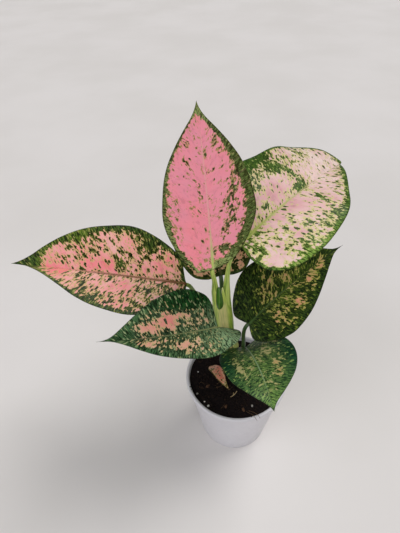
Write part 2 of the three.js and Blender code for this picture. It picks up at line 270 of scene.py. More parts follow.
class Wiring:
    """Adds nodes to one node tree and joins them."""

    def __init__(self, tree: bpy.types.NodeTree) -> None:
        """Starts on a tree."""
        self.tree = tree

    def feed(self, socket: Socket, value: Plug) -> None:
        """Joins an output to an input, or sets the input.

        Args:
            socket: The input.
            value: An output, a number, a vector or a colour.
        """
        if isinstance(value, Socket):
            self.tree.links.new(value, socket)
        else:
            socket.default_value = value

    def node(self, kind: str, inputs: dict[str | int, Plug] | None = None, **settings: object) -> bpy.types.Node:
        """Adds a node.

        Args:
            kind: The node's type, without the leading ShaderNode.
            inputs: What each named or numbered input takes.
            settings: The node's own settings.

        Returns:
            The new node.
        """
        made = self.tree.nodes.new("ShaderNode" + kind)
        for name, value in settings.items():
            setattr(made, name, value)
        for name, value in (inputs or {}).items():
            self.feed(made.inputs[name], value)
        return made

    def sum(self, operation: str, first: Plug, second: Plug = 0.0, clamp: bool = False) -> Socket:
        """Works out one number from one or two, kept from 0 to 1 where it is clamped."""
        return self.node("Math", {0: first, 1: second}, operation=operation, use_clamp=clamp).outputs[0]

    def plus(self, first: Plug, second: Plug, clamp: bool = False) -> Socket:
        """Adds two numbers."""
        return self.sum("ADD", first, second, clamp)

    def times(self, first: Plug, second: Plug, clamp: bool = False) -> Socket:
        """Multiplies two numbers."""
        return self.sum("MULTIPLY", first, second, clamp)

    def most(self, first: Plug, second: Plug) -> Socket:
        """The larger of two numbers."""
        return self.sum("MAXIMUM", first, second)

    def stretched(self, vector: Plug, by: Point) -> Socket:
        """Multiplies a vector, part by part."""
        return self.node("VectorMath", {0: vector, 1: by}, operation="MULTIPLY").outputs[0]

    def mix(self, share: Plug, first: Plug, second: Plug) -> Socket:
        """Mixes two colours: a share of 0 is all the first, and 1 all the second."""
        return self.node("Mix", {0: share, 6: first, 7: second}, data_type="RGBA").outputs[2]

    def part(self, colour: Plug, index: int) -> Socket:
        """Reads the red, green or blue of a colour."""
        return self.node("SeparateColor", {0: colour}).outputs[index]

    def rise(self, value: Plug, low: Plug, high: Plug, bottom: float = 0.0, top: float = 1.0) -> Socket:
        """Rises smoothly from bottom to top while a value goes from low to high."""
        inputs = {"Value": value, "From Min": low, "From Max": high, "To Min": bottom, "To Max": top}
        return self.node("MapRange", inputs, interpolation_type="SMOOTHSTEP").outputs[0]

    def cloud(self, vector: Plug, scale: Plug, detail: float = 3.0, rough: float = 0.5, bend: float = 0.0) -> Socket:
        """A noise pattern around a half: detail and rough set its finer layers, and bend distorts it."""
        inputs = {"Vector": vector, "Scale": scale, "Detail": detail, "Roughness": rough, "Distortion": bend}
        return self.node("TexNoise", inputs).outputs[0]

    def cells(self, vector: Plug, scale: float, feature: str = "F1", **inputs: float) -> bpy.types.NodeOutputs:
        """A pattern of cells, with a distance and a random colour for each."""
        given = {"Vector": vector, "Scale": scale, **inputs}
        return self.node("TexVoronoi", given, feature=feature).outputs

    def ridden(self, name: str, vector: bool = False) -> Socket:
        """Reads a number, or a vector, that rides on the mesh."""
        return self.node("Attribute", attribute_name=name).outputs["Vector" if vector else "Fac"]


@dataclass(frozen=True)
class Port:
    """One input or output of a shader group."""

    name: str
    kind: str = "Float"
    output: bool = False


def shader_group(name: str, ports: list[Port]) -> tuple[Wiring, bpy.types.Node, bpy.types.Node]:
    """Starts a shader group.

    Args:
        name: The group's name.
        ports: Its inputs and outputs.

    Returns:
        Its wiring, its input node and its output node.
    """
    tree = bpy.data.node_groups.new(name, "ShaderNodeTree")
    for port in ports:
        side = "OUTPUT" if port.output else "INPUT"
        tree.interface.new_socket(port.name, in_out=side, socket_type="NodeSocket" + port.kind)
    return Wiring(tree), tree.nodes.new("NodeGroupInput"), tree.nodes.new("NodeGroupOutput")


def new_material(name: str) -> tuple[bpy.types.Material, Wiring, bpy.types.Node]:
    """Starts a material.

    Args:
        name: The material's name.

    Returns:
        The material, its wiring and its surface shader.
    """
    material = bpy.data.materials.new(name)
    material.use_nodes = True
    return material, Wiring(material.node_tree), material.node_tree.nodes["Principled BSDF"]


def set_all_over(surface: bpy.types.Node, values: dict[str, float | tuple[float, ...]]) -> None:
    """Sets what is the same all over a surface, on the shader's own sockets."""
    for name, value in values.items():
        surface.inputs[name].default_value = value


def flesh(weight: float, radius: Point, scale: float) -> dict[str, float | tuple[float, ...]]:
    """How far light soaks into a surface."""
    return {"Subsurface Weight": weight, "Subsurface Radius": radius, "Subsurface Scale": scale}


def emboss(wire: Wiring, surface: bpy.types.Node, height: Plug, strength: float, depth: float) -> None:
    """Raises the skin of a surface by a height pattern, with the depth in metres."""
    bump = wire.node("Bump", {"Strength": strength, "Distance": depth, "Height": height})
    wire.feed(surface.inputs["Normal"], bump.outputs[0])


class Effects:
    """The shader groups that several materials share, each built once."""

    def __init__(self) -> None:
        """Builds every group."""
        self.variegation = self._variegation()
        self.relief = self._relief()
        self.fibres = self._fibres()
        self.mottle = self._mottle()

    def _variegation(self) -> bpy.types.NodeTree:
        """The broken pink and green of a blade: flecks drawn out along the side veins, each with a cream halo.

        Returns:
            The group.
        """
        numbers = ("Bloom", "Blush", "Glow", "Fleck", "Stretch", "Halo", "Feather", "Specks", "Dashes", "Seed")
        colours = ("Hot", "Pale", "Cream", "Green", "Dark", "Bright")
        ports = [Port(name) for name in numbers] + [Port(name, "Color") for name in colours]
        ports += [Port("Vein", "Vector"), Port("Color", "Color", True), Port("Mask", "Float", True)]
        wire, given, result = shader_group("variegation", ports)
        get = given.outputs

        # Every pattern below is laid out in flecks: one across the side veins, and Stretch flecks along them.
        veins = wire.node("SeparateXYZ", {0: get["Vein"]}).outputs
        lane = wire.sum("DIVIDE", veins[0], get["Fleck"])
        run = wire.sum("DIVIDE", veins[1], wire.times(get["Fleck"], get["Stretch"]))
        place = wire.node("CombineXYZ", {0: lane, 1: run, 2: get["Seed"]}).outputs[0]
        warp = wire.node("TexNoise", {"Vector": place, "Scale": 1.1, "Detail": 2.0}).outputs[1]
        shift = wire.node("VectorMath", {0: warp, 1: (-0.5, -0.5, -0.5)}, operation="ADD").outputs[0]
        throw = (1.3, 1.3, 1.3)
        jagged = wire.node("VectorMath", {0: shift, 1: throw, 2: place}, operation="MULTIPLY_ADD").outputs[0]

        # Green covers the pink where the broken pattern is over the level that Bloom sets.
        small, large = (
            wire.cells(jagged, scale, "SMOOTH_F1", Smoothness=0.35, Randomness=1.0)["Color"] for scale in (1.1, 0.42)
        )
        value = wire.times(wire.cloud(place, 0.9, 4.0, 0.6, 0.3), 0.9)
        value = wire.plus(value, wire.times(wire.part(small, 0), 0.3))
        value = wire.plus(value, wire.times(wire.part(large, 0), 0.22))
        level = wire.node("MapRange", {"Value": get["Bloom"], "To Min": 0.34, "To Max": 1.09}).outputs[0]
        over = wire.sum("SUBTRACT", value, level)

        # Lone round specks stand in some of the cells, more of them in some stretches of the blade.
        dots = wire.cells(jagged, 0.62)
        crowded = wire.rise(wire.cloud(place, 0.3, 1.0), 0.42, 0.6, 0.2, 1.7)
        chosen = wire.sum("LESS_THAN", wire.part(dots["Color"], 1), wire.times(get["Specks"], crowded))
        reach = wire.sum("SUBTRACT", dots["Distance"], wire.times(wire.part(dots["Color"], 0), 0.3))
        speck = wire.times(chosen, wire.rise(reach, 0.24, 0.18))
        mask = wire.most(speck, wire.rise(over, -0.006, 0.01))

        # The pink ground, with a cream halo round each fleck and speck.
        rim = wire.rise(over, wire.times(get["Halo"], -1.0), wire.times(get["Halo"], -0.35))
        rim = wire.most(rim, wire.times(chosen, wire.rise(reach, 0.46, 0.26, 0.0, 0.8)))
        wide = wire.sum("SUBTRACT", wire.cloud(place, 0.15, 2.0, 0.5), 0.5)
        warm = wire.plus(get["Blush"], wire.times(wide, 1.3), clamp=True)
        dusk = wire.rise(wire.cloud(place, 0.6, 4.0, 0.6, 0.4), 0.5, 0.68, 0.0, 0.16)
        pink = wire.mix(dusk, wire.mix(warm, get["Pale"], get["Hot"]), get["Dark"])
        pink = wire.mix(wire.rise(wire.cloud(place, 4.2, 3.0, 0.6), 0.52, 0.75, 0.0, 0.22), pink, get["Cream"])
        ground = wire.mix(wire.times(rim, 0.92), pink, get["Cream"])

        # The green: feathered light and dark, lit where it glows, and light round the edge of each fleck.
        feather = wire.rise(wire.cloud(wire.stretched(place, (1.2, 0.42, 1.0)), 1.7, 4.0, 0.62, 0.3), 0.4, 0.62)
        shaded = wire.times(get["Feather"], wire.rise(feather, 0.0, 1.0, 1.0, 0.0))
        fleck = wire.rise(get["Bloom"], 0.1, 0.45, 0.0, 0.95)
        deep = wire.mix(wire.most(shaded, fleck), get["Green"], get["Dark"])
        lit = wire.times(get["Glow"], wire.rise(feather, 0.0, 0.9, 0.1, 1.2), clamp=True)
        leafy = wire.mix(lit, deep, get["Bright"])
        core = wire.most(speck, wire.rise(over, 0.0, wire.times(get["Halo"], 0.2)))
        leafy = wire.mix(core, wire.mix(0.12, leafy, get["Bright"]), leafy)

        # Short light dashes lie along the side veins in the green.
        lines = wire.cells(wire.stretched(jagged, (1.0, 0.55, 1.0)), 1.15)
        picked = wire.sum("LESS_THAN", wire.part(lines["Color"], 2), get["Dashes"])
        dash = wire.times(picked, wire.rise(lines["Distance"], 0.45, 0.2, 0.0, 0.85))
        dash = wire.times(dash, wire.sum("SUBTRACT", 1.0, speck))
        leafy = wire.mix(dash, leafy, wire.mix(0.35, get["Bright"], get["Cream"]))
        wire.feed(result.inputs["Color"], wire.mix(mask, ground, leafy))
        wire.feed(result.inputs["Mask"], mask)
        return wire.tree

    def _relief(self) -> bpy.types.NodeTree:
        """The fine skin of a blade: faint side veins and the quilting between them.

        Returns:
            The group.
        """
        ports = [Port("Vein", "Vector"), Port("Spacing")]
        ports += [Port(name, output=True) for name in ("Lines", "Height")]
        wire, given, result = shader_group("leaf skin", ports)
        parts = wire.node("SeparateXYZ", {0: given.outputs["Vein"]}).outputs
        wander = wire.times(wire.cloud(given.outputs["Vein"], 0.06, 1.0), 0.35)
        turn = wire.plus(wire.sum("DIVIDE", parts[0], given.outputs["Spacing"]), wander)
        wave = wire.sum("COSINE", wire.times(turn, 2 * math.pi))
        lines = wire.rise(wave, 0.93, 1.0)
        skin = wire.cloud(given.outputs["Vein"], 1.4, 4.0, 0.6)
        height = wire.sum("SUBTRACT", wire.times(skin, 0.5), wire.times(lines, 0.6))
        wire.feed(result.inputs["Lines"], lines)
        wire.feed(result.inputs["Height"], height)
        return wire.tree

    def _fibres(self) -> bpy.types.NodeTree:
        """Long fine streaks that run up a stem.

        Returns:
            The group.
        """
        ports = [Port("Around", "Vector"), Port("Fineness")]
        ports += [Port(name, output=True) for name in ("Streaks", "Height")]
        wire, given, result = shader_group("stem fibres", ports)
        along = wire.stretched(given.outputs["Around"], (1.0, 0.06, 1.0))
        streaks = wire.cloud(along, given.outputs["Fineness"], 4.0, 0.6)
        broad = wire.cloud(along, wire.times(given.outputs["Fineness"], 0.25), 2.0)
        both = wire.plus(wire.times(streaks, 0.6), wire.times(broad, 0.4))
        wire.feed(result.inputs["Streaks"], wire.rise(both, 0.36, 0.64))
        wire.feed(result.inputs["Height"], streaks)
        return wire.tree

    def _mottle(self) -> bpy.types.NodeTree:
        """A soft cloudy change over a surface, with a finer grain in it.

        Returns:
            The group.
        """
        ports = [Port("Scale"), Port("Cloud", "Float", True), Port("Grain", "Float", True)]
        wire, given, result = shader_group("mottle", ports)
        place = wire.node("TexCoord").outputs["Object"]
        wire.feed(result.inputs["Cloud"], wire.cloud(place, given.outputs["Scale"], 3.0))
        finer = wire.times(given.outputs["Scale"], 9.0)
        wire.feed(result.inputs["Grain"], wire.cloud(place, finer, 4.0, 0.65))
        return wire.tree


# ---- finishes ----


@dataclass(frozen=True)
class LeafFinish:
    """The colours and pattern of one blade."""

    hot: Colour
    pale: Colour
    cream: Colour
    green: Colour
    dark: Colour
    bright: Colour
    rib: Colour
    rib_foot: Colour
    fleck: float = 2.6  # the size of a fleck, in millimetres
    stretch: float = 1.7  # how much longer it is along a side vein
    halo: float = 0.05  # how much cream lies round it
    specks: float = 0.3  # the share of the places for a lone dark speck that have one
    dashes: float = 0.3  # the share of the places for a light dash in the green that have one
    feather: float = 0.7  # how strongly the greens are streaked
    vein_spacing: float = 11.0  # the way from one side vein to the next, in millimetres
    seed: float = 0.0
    roughness: float = 0.3
    underside: Colour = srgb(150, 168, 120)

    def material(self, name: str, effects: Effects) -> bpy.types.Material:
        """Builds the blade's material.

        Args:
            name: The material's name.
            effects: The shared shader groups.

        Returns:
            The material.
        """
        material, wire, surface = new_material(name)
        vein = wire.ridden("vein", vector=True)
        pattern = wire.node("Group", {"Vein": vein}, node_tree=effects.variegation)
        for key in ("bloom", "blush", "glow"):
            wire.feed(pattern.inputs[key.title()], wire.ridden(key))
        for key in (
            "hot", "pale", "cream", "green", "dark", "bright",
            "fleck", "stretch", "halo", "specks", "dashes", "feather", "seed",
        ):
            wire.feed(pattern.inputs[key.title()], getattr(self, key))
        skin = wire.node("Group", {"Vein": vein, "Spacing": self.vein_spacing}, node_tree=effects.relief)
        under = wire.ridden("under")
        rib_colour = wire.mix(wire.ridden("foot"), self.rib, self.rib_foot)
        colour = wire.mix(wire.times(skin.outputs["Lines"], 0.08), pattern.outputs["Color"], rib_colour)
        colour = wire.mix(wire.ridden("rib"), colour, rib_colour)
        colour = wire.mix(wire.ridden("rind"), colour, self.dark)
        colour = wire.mix(wire.times(under, 0.55), colour, self.underside)
        wire.feed(surface.inputs["Base Color"], colour)
        rough = wire.rise(skin.outputs["Height"], 0.0, 0.6, self.roughness - 0.06, self.roughness + 0.1)
        wire.feed(surface.inputs["Roughness"], wire.plus(rough, wire.times(under, 0.15)))
        set_all_over(surface, {"Specular IOR Level": 0.1, **flesh(0.04, (0.004, 0.002, 0.001), 0.3)})
        raised = wire.plus(skin.outputs["Height"], wire.times(pattern.outputs["Mask"], -0.25))
        emboss(wire, surface, raised, 0.5, 0.00025)
        return material


@dataclass(frozen=True)
class StemFinish:
    """A living stem: long streaks between two greens, paler at its edges, papery where it is old."""

    light: Colour
    deep: Colour
    lip: Colour
    old: Colour
    fineness: float = 0.9
    roughness: float = 0.34

    def material(self, name: str, effects: Effects) -> bpy.types.Material:
        """Builds the stem's material.

        Args:
            name: The material's name.
            effects: The shared shader groups.

        Returns:
            The material.
        """
        material, wire, surface = new_material(name)
        around = wire.ridden("around", vector=True)
        fibres = wire.node("Group", {"Around": around, "Fineness": self.fineness}, node_tree=effects.fibres)
        green = wire.mix(fibres.outputs["Streaks"], self.deep, self.light)
        edged = wire.mix(wire.ridden("lip"), green, self.lip)
        dry = wire.times(wire.ridden("age"), wire.rise(fibres.outputs["Height"], 0.3, 0.6, 0.55, 1.0))
        wire.feed(surface.inputs["Base Color"], wire.mix(dry, edged, self.old))
        rough = wire.rise(fibres.outputs["Height"], 0.3, 0.7, self.roughness - 0.05, self.roughness + 0.12)
        wire.feed(surface.inputs["Roughness"], wire.plus(rough, wire.times(dry, 0.3), clamp=True))
        set_all_over(surface, flesh(0.08, (0.003, 0.003, 0.001), 0.4))
        emboss(wire, surface, fibres.outputs["Height"], 0.45, 0.0003)
        return material


@dataclass(frozen=True)
class GrainyFinish:
    """A matt grainy stuff: potting mix, perlite, bark or dry wood."""

    light: Colour
    dark: Colour
    scale: float
    roughness: float
    depth: float

    def material(self, name: str, effects: Effects) -> bpy.types.Material:
        """Builds the material.

        Args:
            name: The material's name.
            effects: The shared shader groups.

        Returns:
            The material.
        """
        material, wire, surface = new_material(name)
        mottle = wire.node("Group", {"Scale": self.scale}, node_tree=effects.mottle).outputs
        grain = wire.plus(wire.times(mottle["Cloud"], 0.5), wire.times(mottle["Grain"], 0.5))
        wire.feed(surface.inputs["Base Color"], wire.mix(wire.rise(grain, 0.38, 0.64), self.dark, self.light))
        smoother, rougher = self.roughness - 0.12, min(1.0, self.roughness + 0.05)
        wire.feed(surface.inputs["Roughness"], wire.rise(mottle["Grain"], 0.3, 0.7, smoother, rougher))
        set_all_over(surface, {"Specular IOR Level": 0.15})
        emboss(wire, surface, grain, 0.8, self.depth)
        return material


@dataclass(frozen=True)
class PlasticFinish:
    """Smooth moulded white plastic with a faint cloudiness, and patchily darker low down."""

    white: Colour
    shade: Colour
    roughness: float = 0.36
    cloudiness: float = 22.0  # how fine the cloudiness is, in waves per metre
    low_darkening_height: float = 0.022  # how high the darkening reaches, in metres

    def material(self, name: str, effects: Effects) -> bpy.types.Material:
        """Builds the material.

        Args:
            name: The material's name.
            effects: The shared shader groups.

        Returns:
            The material.
        """
        material, wire, surface = new_material(name)
        mottle = wire.node("Group", {"Scale": self.cloudiness}, node_tree=effects.mottle).outputs
        height = wire.node("SeparateXYZ", {0: wire.node("TexCoord").outputs["Object"]}).outputs[2]
        # patchily darker over the lowest part of the wall
        low_darkening = wire.rise(height, 0.0, self.low_darkening_height, 0.55, 0.0)
        low_darkening = wire.times(low_darkening, wire.rise(mottle["Grain"], 0.42, 0.62))
        cloudy = wire.plus(wire.rise(mottle["Cloud"], 0.3, 0.7, 0.0, 0.35), low_darkening, clamp=True)
        wire.feed(surface.inputs["Base Color"], wire.mix(cloudy, self.white, self.shade))
        rough = wire.rise(mottle["Grain"], 0.35, 0.65, self.roughness - 0.05, self.roughness + 0.07)
        wire.feed(surface.inputs["Roughness"], rough)
        set_all_over(surface, flesh(0.1, (0.004, 0.004, 0.004), 0.5))
        emboss(wire, surface, mottle["Grain"], 0.25, 0.0001)
        return material


# ---- the cane and what stands round it ----


@dataclass(frozen=True)
class Bundle:
    """The leaning line that every stem of the plant follows."""

    axis: tuple[Point, ...] = ((1, 2, 60), (-3, 1.5, 115), (-8.5, 1, 150), (-15.2, 0, 190), (-20, -1, 250))
    foot: float = 66.0
    top: float = 178.0
    radii: tuple[tuple[float, float], ...] = ((66, 6.2), (110, 5.6), (150, 4.6), (178, 3.0))
    hug_gap: float = 0.5

    @lru_cache(maxsize=None)
    def track(self) -> np.ndarray:
        """The line as closely spaced points."""
        return path_through([np.array(point, float) for point in self.axis], 200)

    def at(self, height: float | np.ndarray) -> np.ndarray:
        """The middle of the bundle at a height, or at each of several."""
        track = self.track()
        return np.stack([np.interp(height, track[:, 2], track[:, axis]) for axis in range(3)], axis=-1)

    def radius(self, height: float) -> float:
        """The cane's radius at a height."""
        return float(np.interp(height, [h for h, _ in self.radii], [r for _, r in self.radii]))

    def hugging(self, bearing: float, radius: float, height: float) -> np.ndarray:
        """Where a stem of some radius touches the cane.

        Args:
            bearing: Its compass direction in degrees.
            radius: Its own radius.
            height: The height.

        Returns:
            The stem's middle there.
        """
        turn = math.radians(bearing)
        distance = self.radius(height) + self.hug_gap + radius
        return self.at(height) + distance * np.array([math.cos(turn), math.sin(turn), 0.0])


@dataclass
class Cane:
    """The short upright stem, ringed by the scars of fallen leaves."""

    bundle: Bundle
    nodes: tuple[float, ...]
    scar_height: float = 0.7
    scar_rise: float = 0.28
    scar_tilt: float = 0.5
    unevenness: float = 0.08
    papery: tuple[float, float] = (125.0, 92.0)  # the heights where the skin starts to dry, and is dry
    rows: int = 150
    sides: int = 40

    def build(self, material: bpy.types.Material) -> bpy.types.Object:
        """Builds and dresses the cane.

        Args:
            material: The stem's material.

        Returns:
            The piece.
        """
        heights = np.linspace(self.bundle.foot, self.bundle.top, self.rows)
        turn = turns(self.sides)
        points = np.zeros((self.rows, self.sides, 3))
        scar = np.zeros((self.rows, self.sides))
        tilt = self.scar_tilt * np.sin(turn)
        for row, height in enumerate(heights):
            rings = sum(np.exp(-(((height + tilt - node) / self.scar_height) ** 2)) for node in self.nodes)
            uneven = self.unevenness * np.sin(5 * turn + height / 9)
            radius = self.bundle.radius(height) + self.scar_rise * rings + uneven
            circle = np.stack([radius * np.cos(turn), radius * np.sin(turn), 0 * turn], axis=1)
            points[row] = self.bundle.at(height) + circle
            scar[row] = np.clip(rings, 0, 1)
        over, up = np.tile(turn * 5.0, (self.rows, 1)), np.tile(heights[:, None], (1, self.sides))
        around = np.stack([over, up, 0 * scar], axis=2)
        old = np.tile(smooth(*self.papery, heights)[:, None], (1, self.sides))
        values = {"around": around, "lip": 0.6 * scar, "age": 0.7 * old}
        piece = mesh_of("stem_cane", [Sheet(points, values)])
        dress(piece, material, ["cane"])
        return piece


@dataclass
class RolledLeaf:
    """The newest leaf, still rolled into a spindle, with the edge of its roll showing."""

    bundle: Bundle
    foot: float = 196.0
    tip: float = 252.0
    radius: float = 3.7
    aside: float = -1.7
    forward: float = 6.2
    tuck: float = 2.6  # how much further back its foot stands, inside the sheath
    tuck_heights: tuple[float, float] = (232.0, 214.0)
    flatness: tuple[float, float] = (1.08, 0.85)  # its width and its depth, as shares of its radius
    seam: float = 2.4  # where the roll's edge starts, in radians
    winding: float = 1.3  # and how far round it runs on its way up
    rows: int = 70
    sides: int = 36

    def build(self, material: bpy.types.Material) -> bpy.types.Object:
        """Builds and dresses the rolled leaf.

        Args:
            material: The rolled leaf's material.

        Returns:
            The piece.
        """
        turn = turns(self.sides)
        wide, deep = self.flatness
        points = np.zeros((self.rows, self.sides, 3))
        lip = np.zeros((self.rows, self.sides))
        around = np.zeros((self.rows, self.sides, 3))
        for row, share in enumerate(np.linspace(0, 1, self.rows)):
            height = self.foot + (self.tip - self.foot) * share
            out = self.forward - self.tuck * float(smooth(*self.tuck_heights, np.array(height)))
            middle = self.bundle.at(height) + np.array([self.aside, -out, 0.0])
            slim = (0.4 + 0.6 * smooth(0.1, 0.66, share)) * math.sqrt(max(0.002, 1 - share**3.2))
            roll = ((turn + self.seam - self.winding * share) % (2 * math.pi)) / (2 * math.pi)
            radius = self.radius * slim * (0.9 + 0.16 * roll)
            oval = np.stack([wide * radius * np.cos(turn), deep * radius * np.sin(turn), 0 * turn], axis=1)
            points[row] = middle + oval
            lip[row] = smooth(0.93, 1.0, roll)
            around[row] = np.stack([turn * self.radius, np.full(self.sides, height), 0 * turn], axis=1)
        values = {"around": around, "lip": lip, "age": 0 * lip}
        piece = mesh_of("rolled_leaf", [Sheet(points, values)])
        dress(piece, material, ["spear"])
        return piece


@dataclass
class StemSheath:
    """The thin sheath that wraps the two youngest petioles, open at the front where the rolled leaf comes out."""

    bundle: Bundle
    foot: float = 160.0
    lip: float = 222.5
    wide: float = 10.2
    front: float = 6.8
    back: float = 4.0
    thickness: float = 0.35
    gap: float = 256.0  # the bearing of the opening
    wings: tuple[Point, ...] = ((231, 27, 0.2), (284, 28, 0.3))  # bearing, rise and reach in radians
    full_height: float = 196.0  # where it has its full width
    taper_height: float = 200.0  # where its sides start to close
    taper: float = 0.045
    dry_heights: tuple[float, float] = (236.0, 222.0)
    dry_aside: float = 16.0  # how far from the opening the old strip lies, in degrees
    rows: int = 60
    sides: int = 120

    def _top(self, bearing: np.ndarray) -> np.ndarray:
        """The height of the sheath's upper edge.

        Args:
            bearing: Compass directions in degrees.

        Returns:
            The height at each.
        """
        top = np.full(bearing.shape, self.lip, float)
        for middle, rise, reach in self.wings:
            away = np.radians(turned_from(bearing, middle))
            top = top + rise * np.exp(-((away / reach) ** 2))
        return top + 0.8 * np.sin(np.radians(bearing) * 3)

    def build(self, material: bpy.types.Material) -> bpy.types.Object:
        """Builds and dresses the sheath.

        Args:
            material: Its material.

        Returns:
            The piece.
        """
        bearing = np.linspace(0, 360, self.sides, endpoint=False)
        turn = np.radians(bearing)
        top = self._top(bearing)
        share = np.linspace(0, 1, self.rows)[:, None]
        heights = self.foot + (top - self.foot) * share
        middles = self.bundle.at(heights)
        close = 0.62 + 0.38 * smooth(self.foot, self.full_height, heights)
        above = np.clip(heights - self.lip, 0, None)
        faces, values = [], []
        for inner in (0.0, self.thickness):
            wide = self.wide * close - inner - self.taper * np.clip(heights - self.taper_height, 0, None)
            deep = np.where(np.sin(turn) < 0, self.front, self.back) * close - inner - 0.02 * above
            spread = np.stack([wide * np.cos(turn), deep * np.sin(turn), 0 * wide], -1)
            faces.append(middles + spread)
            front = np.abs(turned_from(bearing, self.gap))[None]
            edge = smooth(5.0, 0.5, top[None] - heights) * smooth(48, 22, front)
            strip = np.abs(turned_from(bearing, self.gap + self.dry_aside))[None]
            old = smooth(40, 14, strip) * smooth(*self.dry_heights, heights)
            around = np.stack([np.tile(bearing * 0.16, (self.rows, 1)), heights, 0 * heights], -1)
            values.append({"around": around, "lip": edge, "age": 0.85 * old})
        points = np.concatenate([faces[0], faces[1][::-1]])
        points = np.concatenate([points, points[:1]])
        held = {key: np.concatenate([values[0][key], values[1][key][::-1], values[0][key][:1]]) for key in values[0]}
        piece = mesh_of("stem_sheath", [Sheet(points, held, capped=False)])
        dress(piece, material, [])
        return piece


# ---- leaves ----


class Pair(Enum):
    """Where a young petiole stands above the cane."""

    NEITHER = 0
    LEFT = -1
    RIGHT = 1


@dataclass(frozen=True)
class Patch:
    """A soft oval on a blade.

    along runs from the petiole at 0 to the tip at 1; across from the right margin at -1 to the left one at 1.
    reach and spread are its size in those terms. bloom makes it pinker or greener, blush a hotter or a paler pink,
    and glow a brighter green, which on the lower left leaf's base lobe is a painted sheen.
    """

    along: float
    across: float
    reach: float
    spread: float
    bloom: float = 0.0
    blush: float = 0.0
    glow: float = 0.0


@dataclass(frozen=True)
class BladeShape:
    """How a blade stands and how its outline runs: degrees, millimetres, and left and right half widths."""

    base: Point
    heading: float
    pitch: float
    roll: float
    length: float
    left: float
    right: float
    bend: float
    fold: float
    curl: float
    lobes: tuple[float, float]
    sweep: float
    twist: float
    widest: float
    shoulders: tuple[float, float]
    points: tuple[float, float]
    wave: Point = (0.8, 2.5, 0.0)  # the margin's rise, waves along it and where they start
    slant: float = 0.14
    drip: float = 0.0  # how far the thin tip runs on, in blade lengths

    def outline(self, side: int, share: np.ndarray) -> np.ndarray:
        """One side of the outline.

        Args:
            side: 0 for the left and 1 for the right.
            share: How far along the outline, from 0 to 1.

        Returns:
            Rows of (along, width), as shares of the length and of the half width.
        """
        lobe, shoulder, point = self.lobes[side], self.shoulders[side], self.points[side]
        reach = self.widest / 0.36
        knots = [
            (0, 0), (-0.55 * lobe, 0.14), (-lobe, 0.36), (0.02 - 0.6 * lobe, 0.62 * shoulder),
            (0.1 * reach, 0.83 * shoulder**0.6), (0.22 * reach, 0.96 * shoulder**0.2), (self.widest, 1),
        ]
        taper = ((0.27, 0.93), (0.46, 0.8), (0.63, 0.59), (0.77, 0.37), (0.89, 0.15), (0.955, 0.05))
        knots += [(self.widest + (1 - self.widest) * along, width**point) for along, width in taper]
        edge = even_spline([*knots, (1, 0)], share)
        edge[:, 0] += self.drip * np.clip((edge[:, 0] - 0.9) / 0.1, 0, 1) ** 2
        return edge

    def place(self, along: np.ndarray, across: np.ndarray, lift: np.ndarray) -> np.ndarray:
        """Where points of the blade are in space.

        Args:
            along: Distance along the midrib.
            across: Distance to the left of it.
            lift: Height above the blade's middle surface.

        Returns:
            The points.
        """
        heading, pitch, roll = (math.radians(angle) for angle in (self.heading, self.pitch, self.roll))
        down, aside, over, tilt = (math.radians(angle) for angle in (self.bend, self.sweep, self.twist, self.fold))
        forward = np.array([math.cos(pitch) * math.cos(heading), math.cos(pitch) * math.sin(heading), math.sin(pitch)])
        back = -math.sin(pitch)
        flat_up = np.array([back * math.cos(heading), back * math.sin(heading), math.cos(pitch)])
        flat_left = np.cross(flat_up, forward)
        left = flat_left * math.cos(roll) + flat_up * math.sin(roll)
        up = flat_up * math.cos(roll) - flat_left * math.sin(roll)
        half_width = (self.left + self.right) / 2
        reach = np.maximum(along, 0)
        parts = (reach / self.length)[..., None] * (np.arange(40) + 0.5) / 40
        step = reach / 40
        ahead = np.minimum(along, 0) + step * (np.cos(down * parts) * np.cos(aside * parts)).sum(-1)
        side = step * (np.cos(down * parts) * np.sin(aside * parts)).sum(-1)
        drop = step * np.sin(down * parts).sum(-1)
        share = reach / self.length
        dip, yaw, turn = down * share, aside * share, over * share
        normal = np.stack([np.sin(dip) * np.cos(yaw), np.sin(dip) * np.sin(yaw), np.cos(dip)], -1)
        lateral = np.stack([-np.sin(yaw), np.cos(yaw), 0 * yaw], -1)
        turned = lateral * np.cos(turn)[..., None] + normal * np.sin(turn)[..., None]
        raised = normal * np.cos(turn)[..., None] - lateral * np.sin(turn)[..., None]
        rise = np.abs(across) * math.sin(tilt) - self.curl * (across / half_width) ** 2 * half_width + lift
        local = np.stack([ahead, side, -drop], -1) + turned * (across * math.cos(tilt))[..., None]
        local = local + raised * rise[..., None]
        return np.array(self.base) + local[..., :1] * forward + local[..., 1:2] * left + local[..., 2:] * up


@dataclass(frozen=True)
class PetioleShape:
    """How a petiole leaves the cane and reaches its blade, in degrees and millimetres."""

    bearing: float
    node: float
    leaves: float = 176.0
    via: tuple[Point, ...] = ()
    pair: Pair = Pair.NEITHER
    sheath: float = 3.2
    neck: float = 1.9
    abrupt: bool = False
    hug_step: float = 14.0
    aside: float = 4.7  # how far a young one stands to its side of the bundle
    abreast: tuple[float, ...] = (196.0, 217.0, 238.0)  # and at which heights
    blade_gap: float = 0.25
    rooted: float = 9.0  # how far up it thickens out of the cane
    tapered: float = 14.0  # and over what length it thins at its end
    sheath_tops: tuple[float, float] = (8.0, 236.0)  # over where it leaves the cane; at what height on a young one
    groove: float = 0.3
    lip: float = 0.75  # how far the lips of the sheath stand out
    lip_turn: float = 2.15  # and how far round they stand, in radians

    def girths(self, end: float) -> tuple[tuple[float, float], ...]:
        """How thick the petiole is on its way up.

        Args:
            end: The height where it ends.

        Returns:
            Heights, and the radius at each.
        """
        if self.pair is not Pair.NEITHER:
            return ((178, self.sheath), (196, 4.7), (238, 4.3), (258, 2.6), (end, self.neck))
        middle = ((self.leaves + end) / 2, (self.sheath + 2 * self.neck) / 3)
        return ((self.leaves, self.sheath), middle, (end, self.neck))


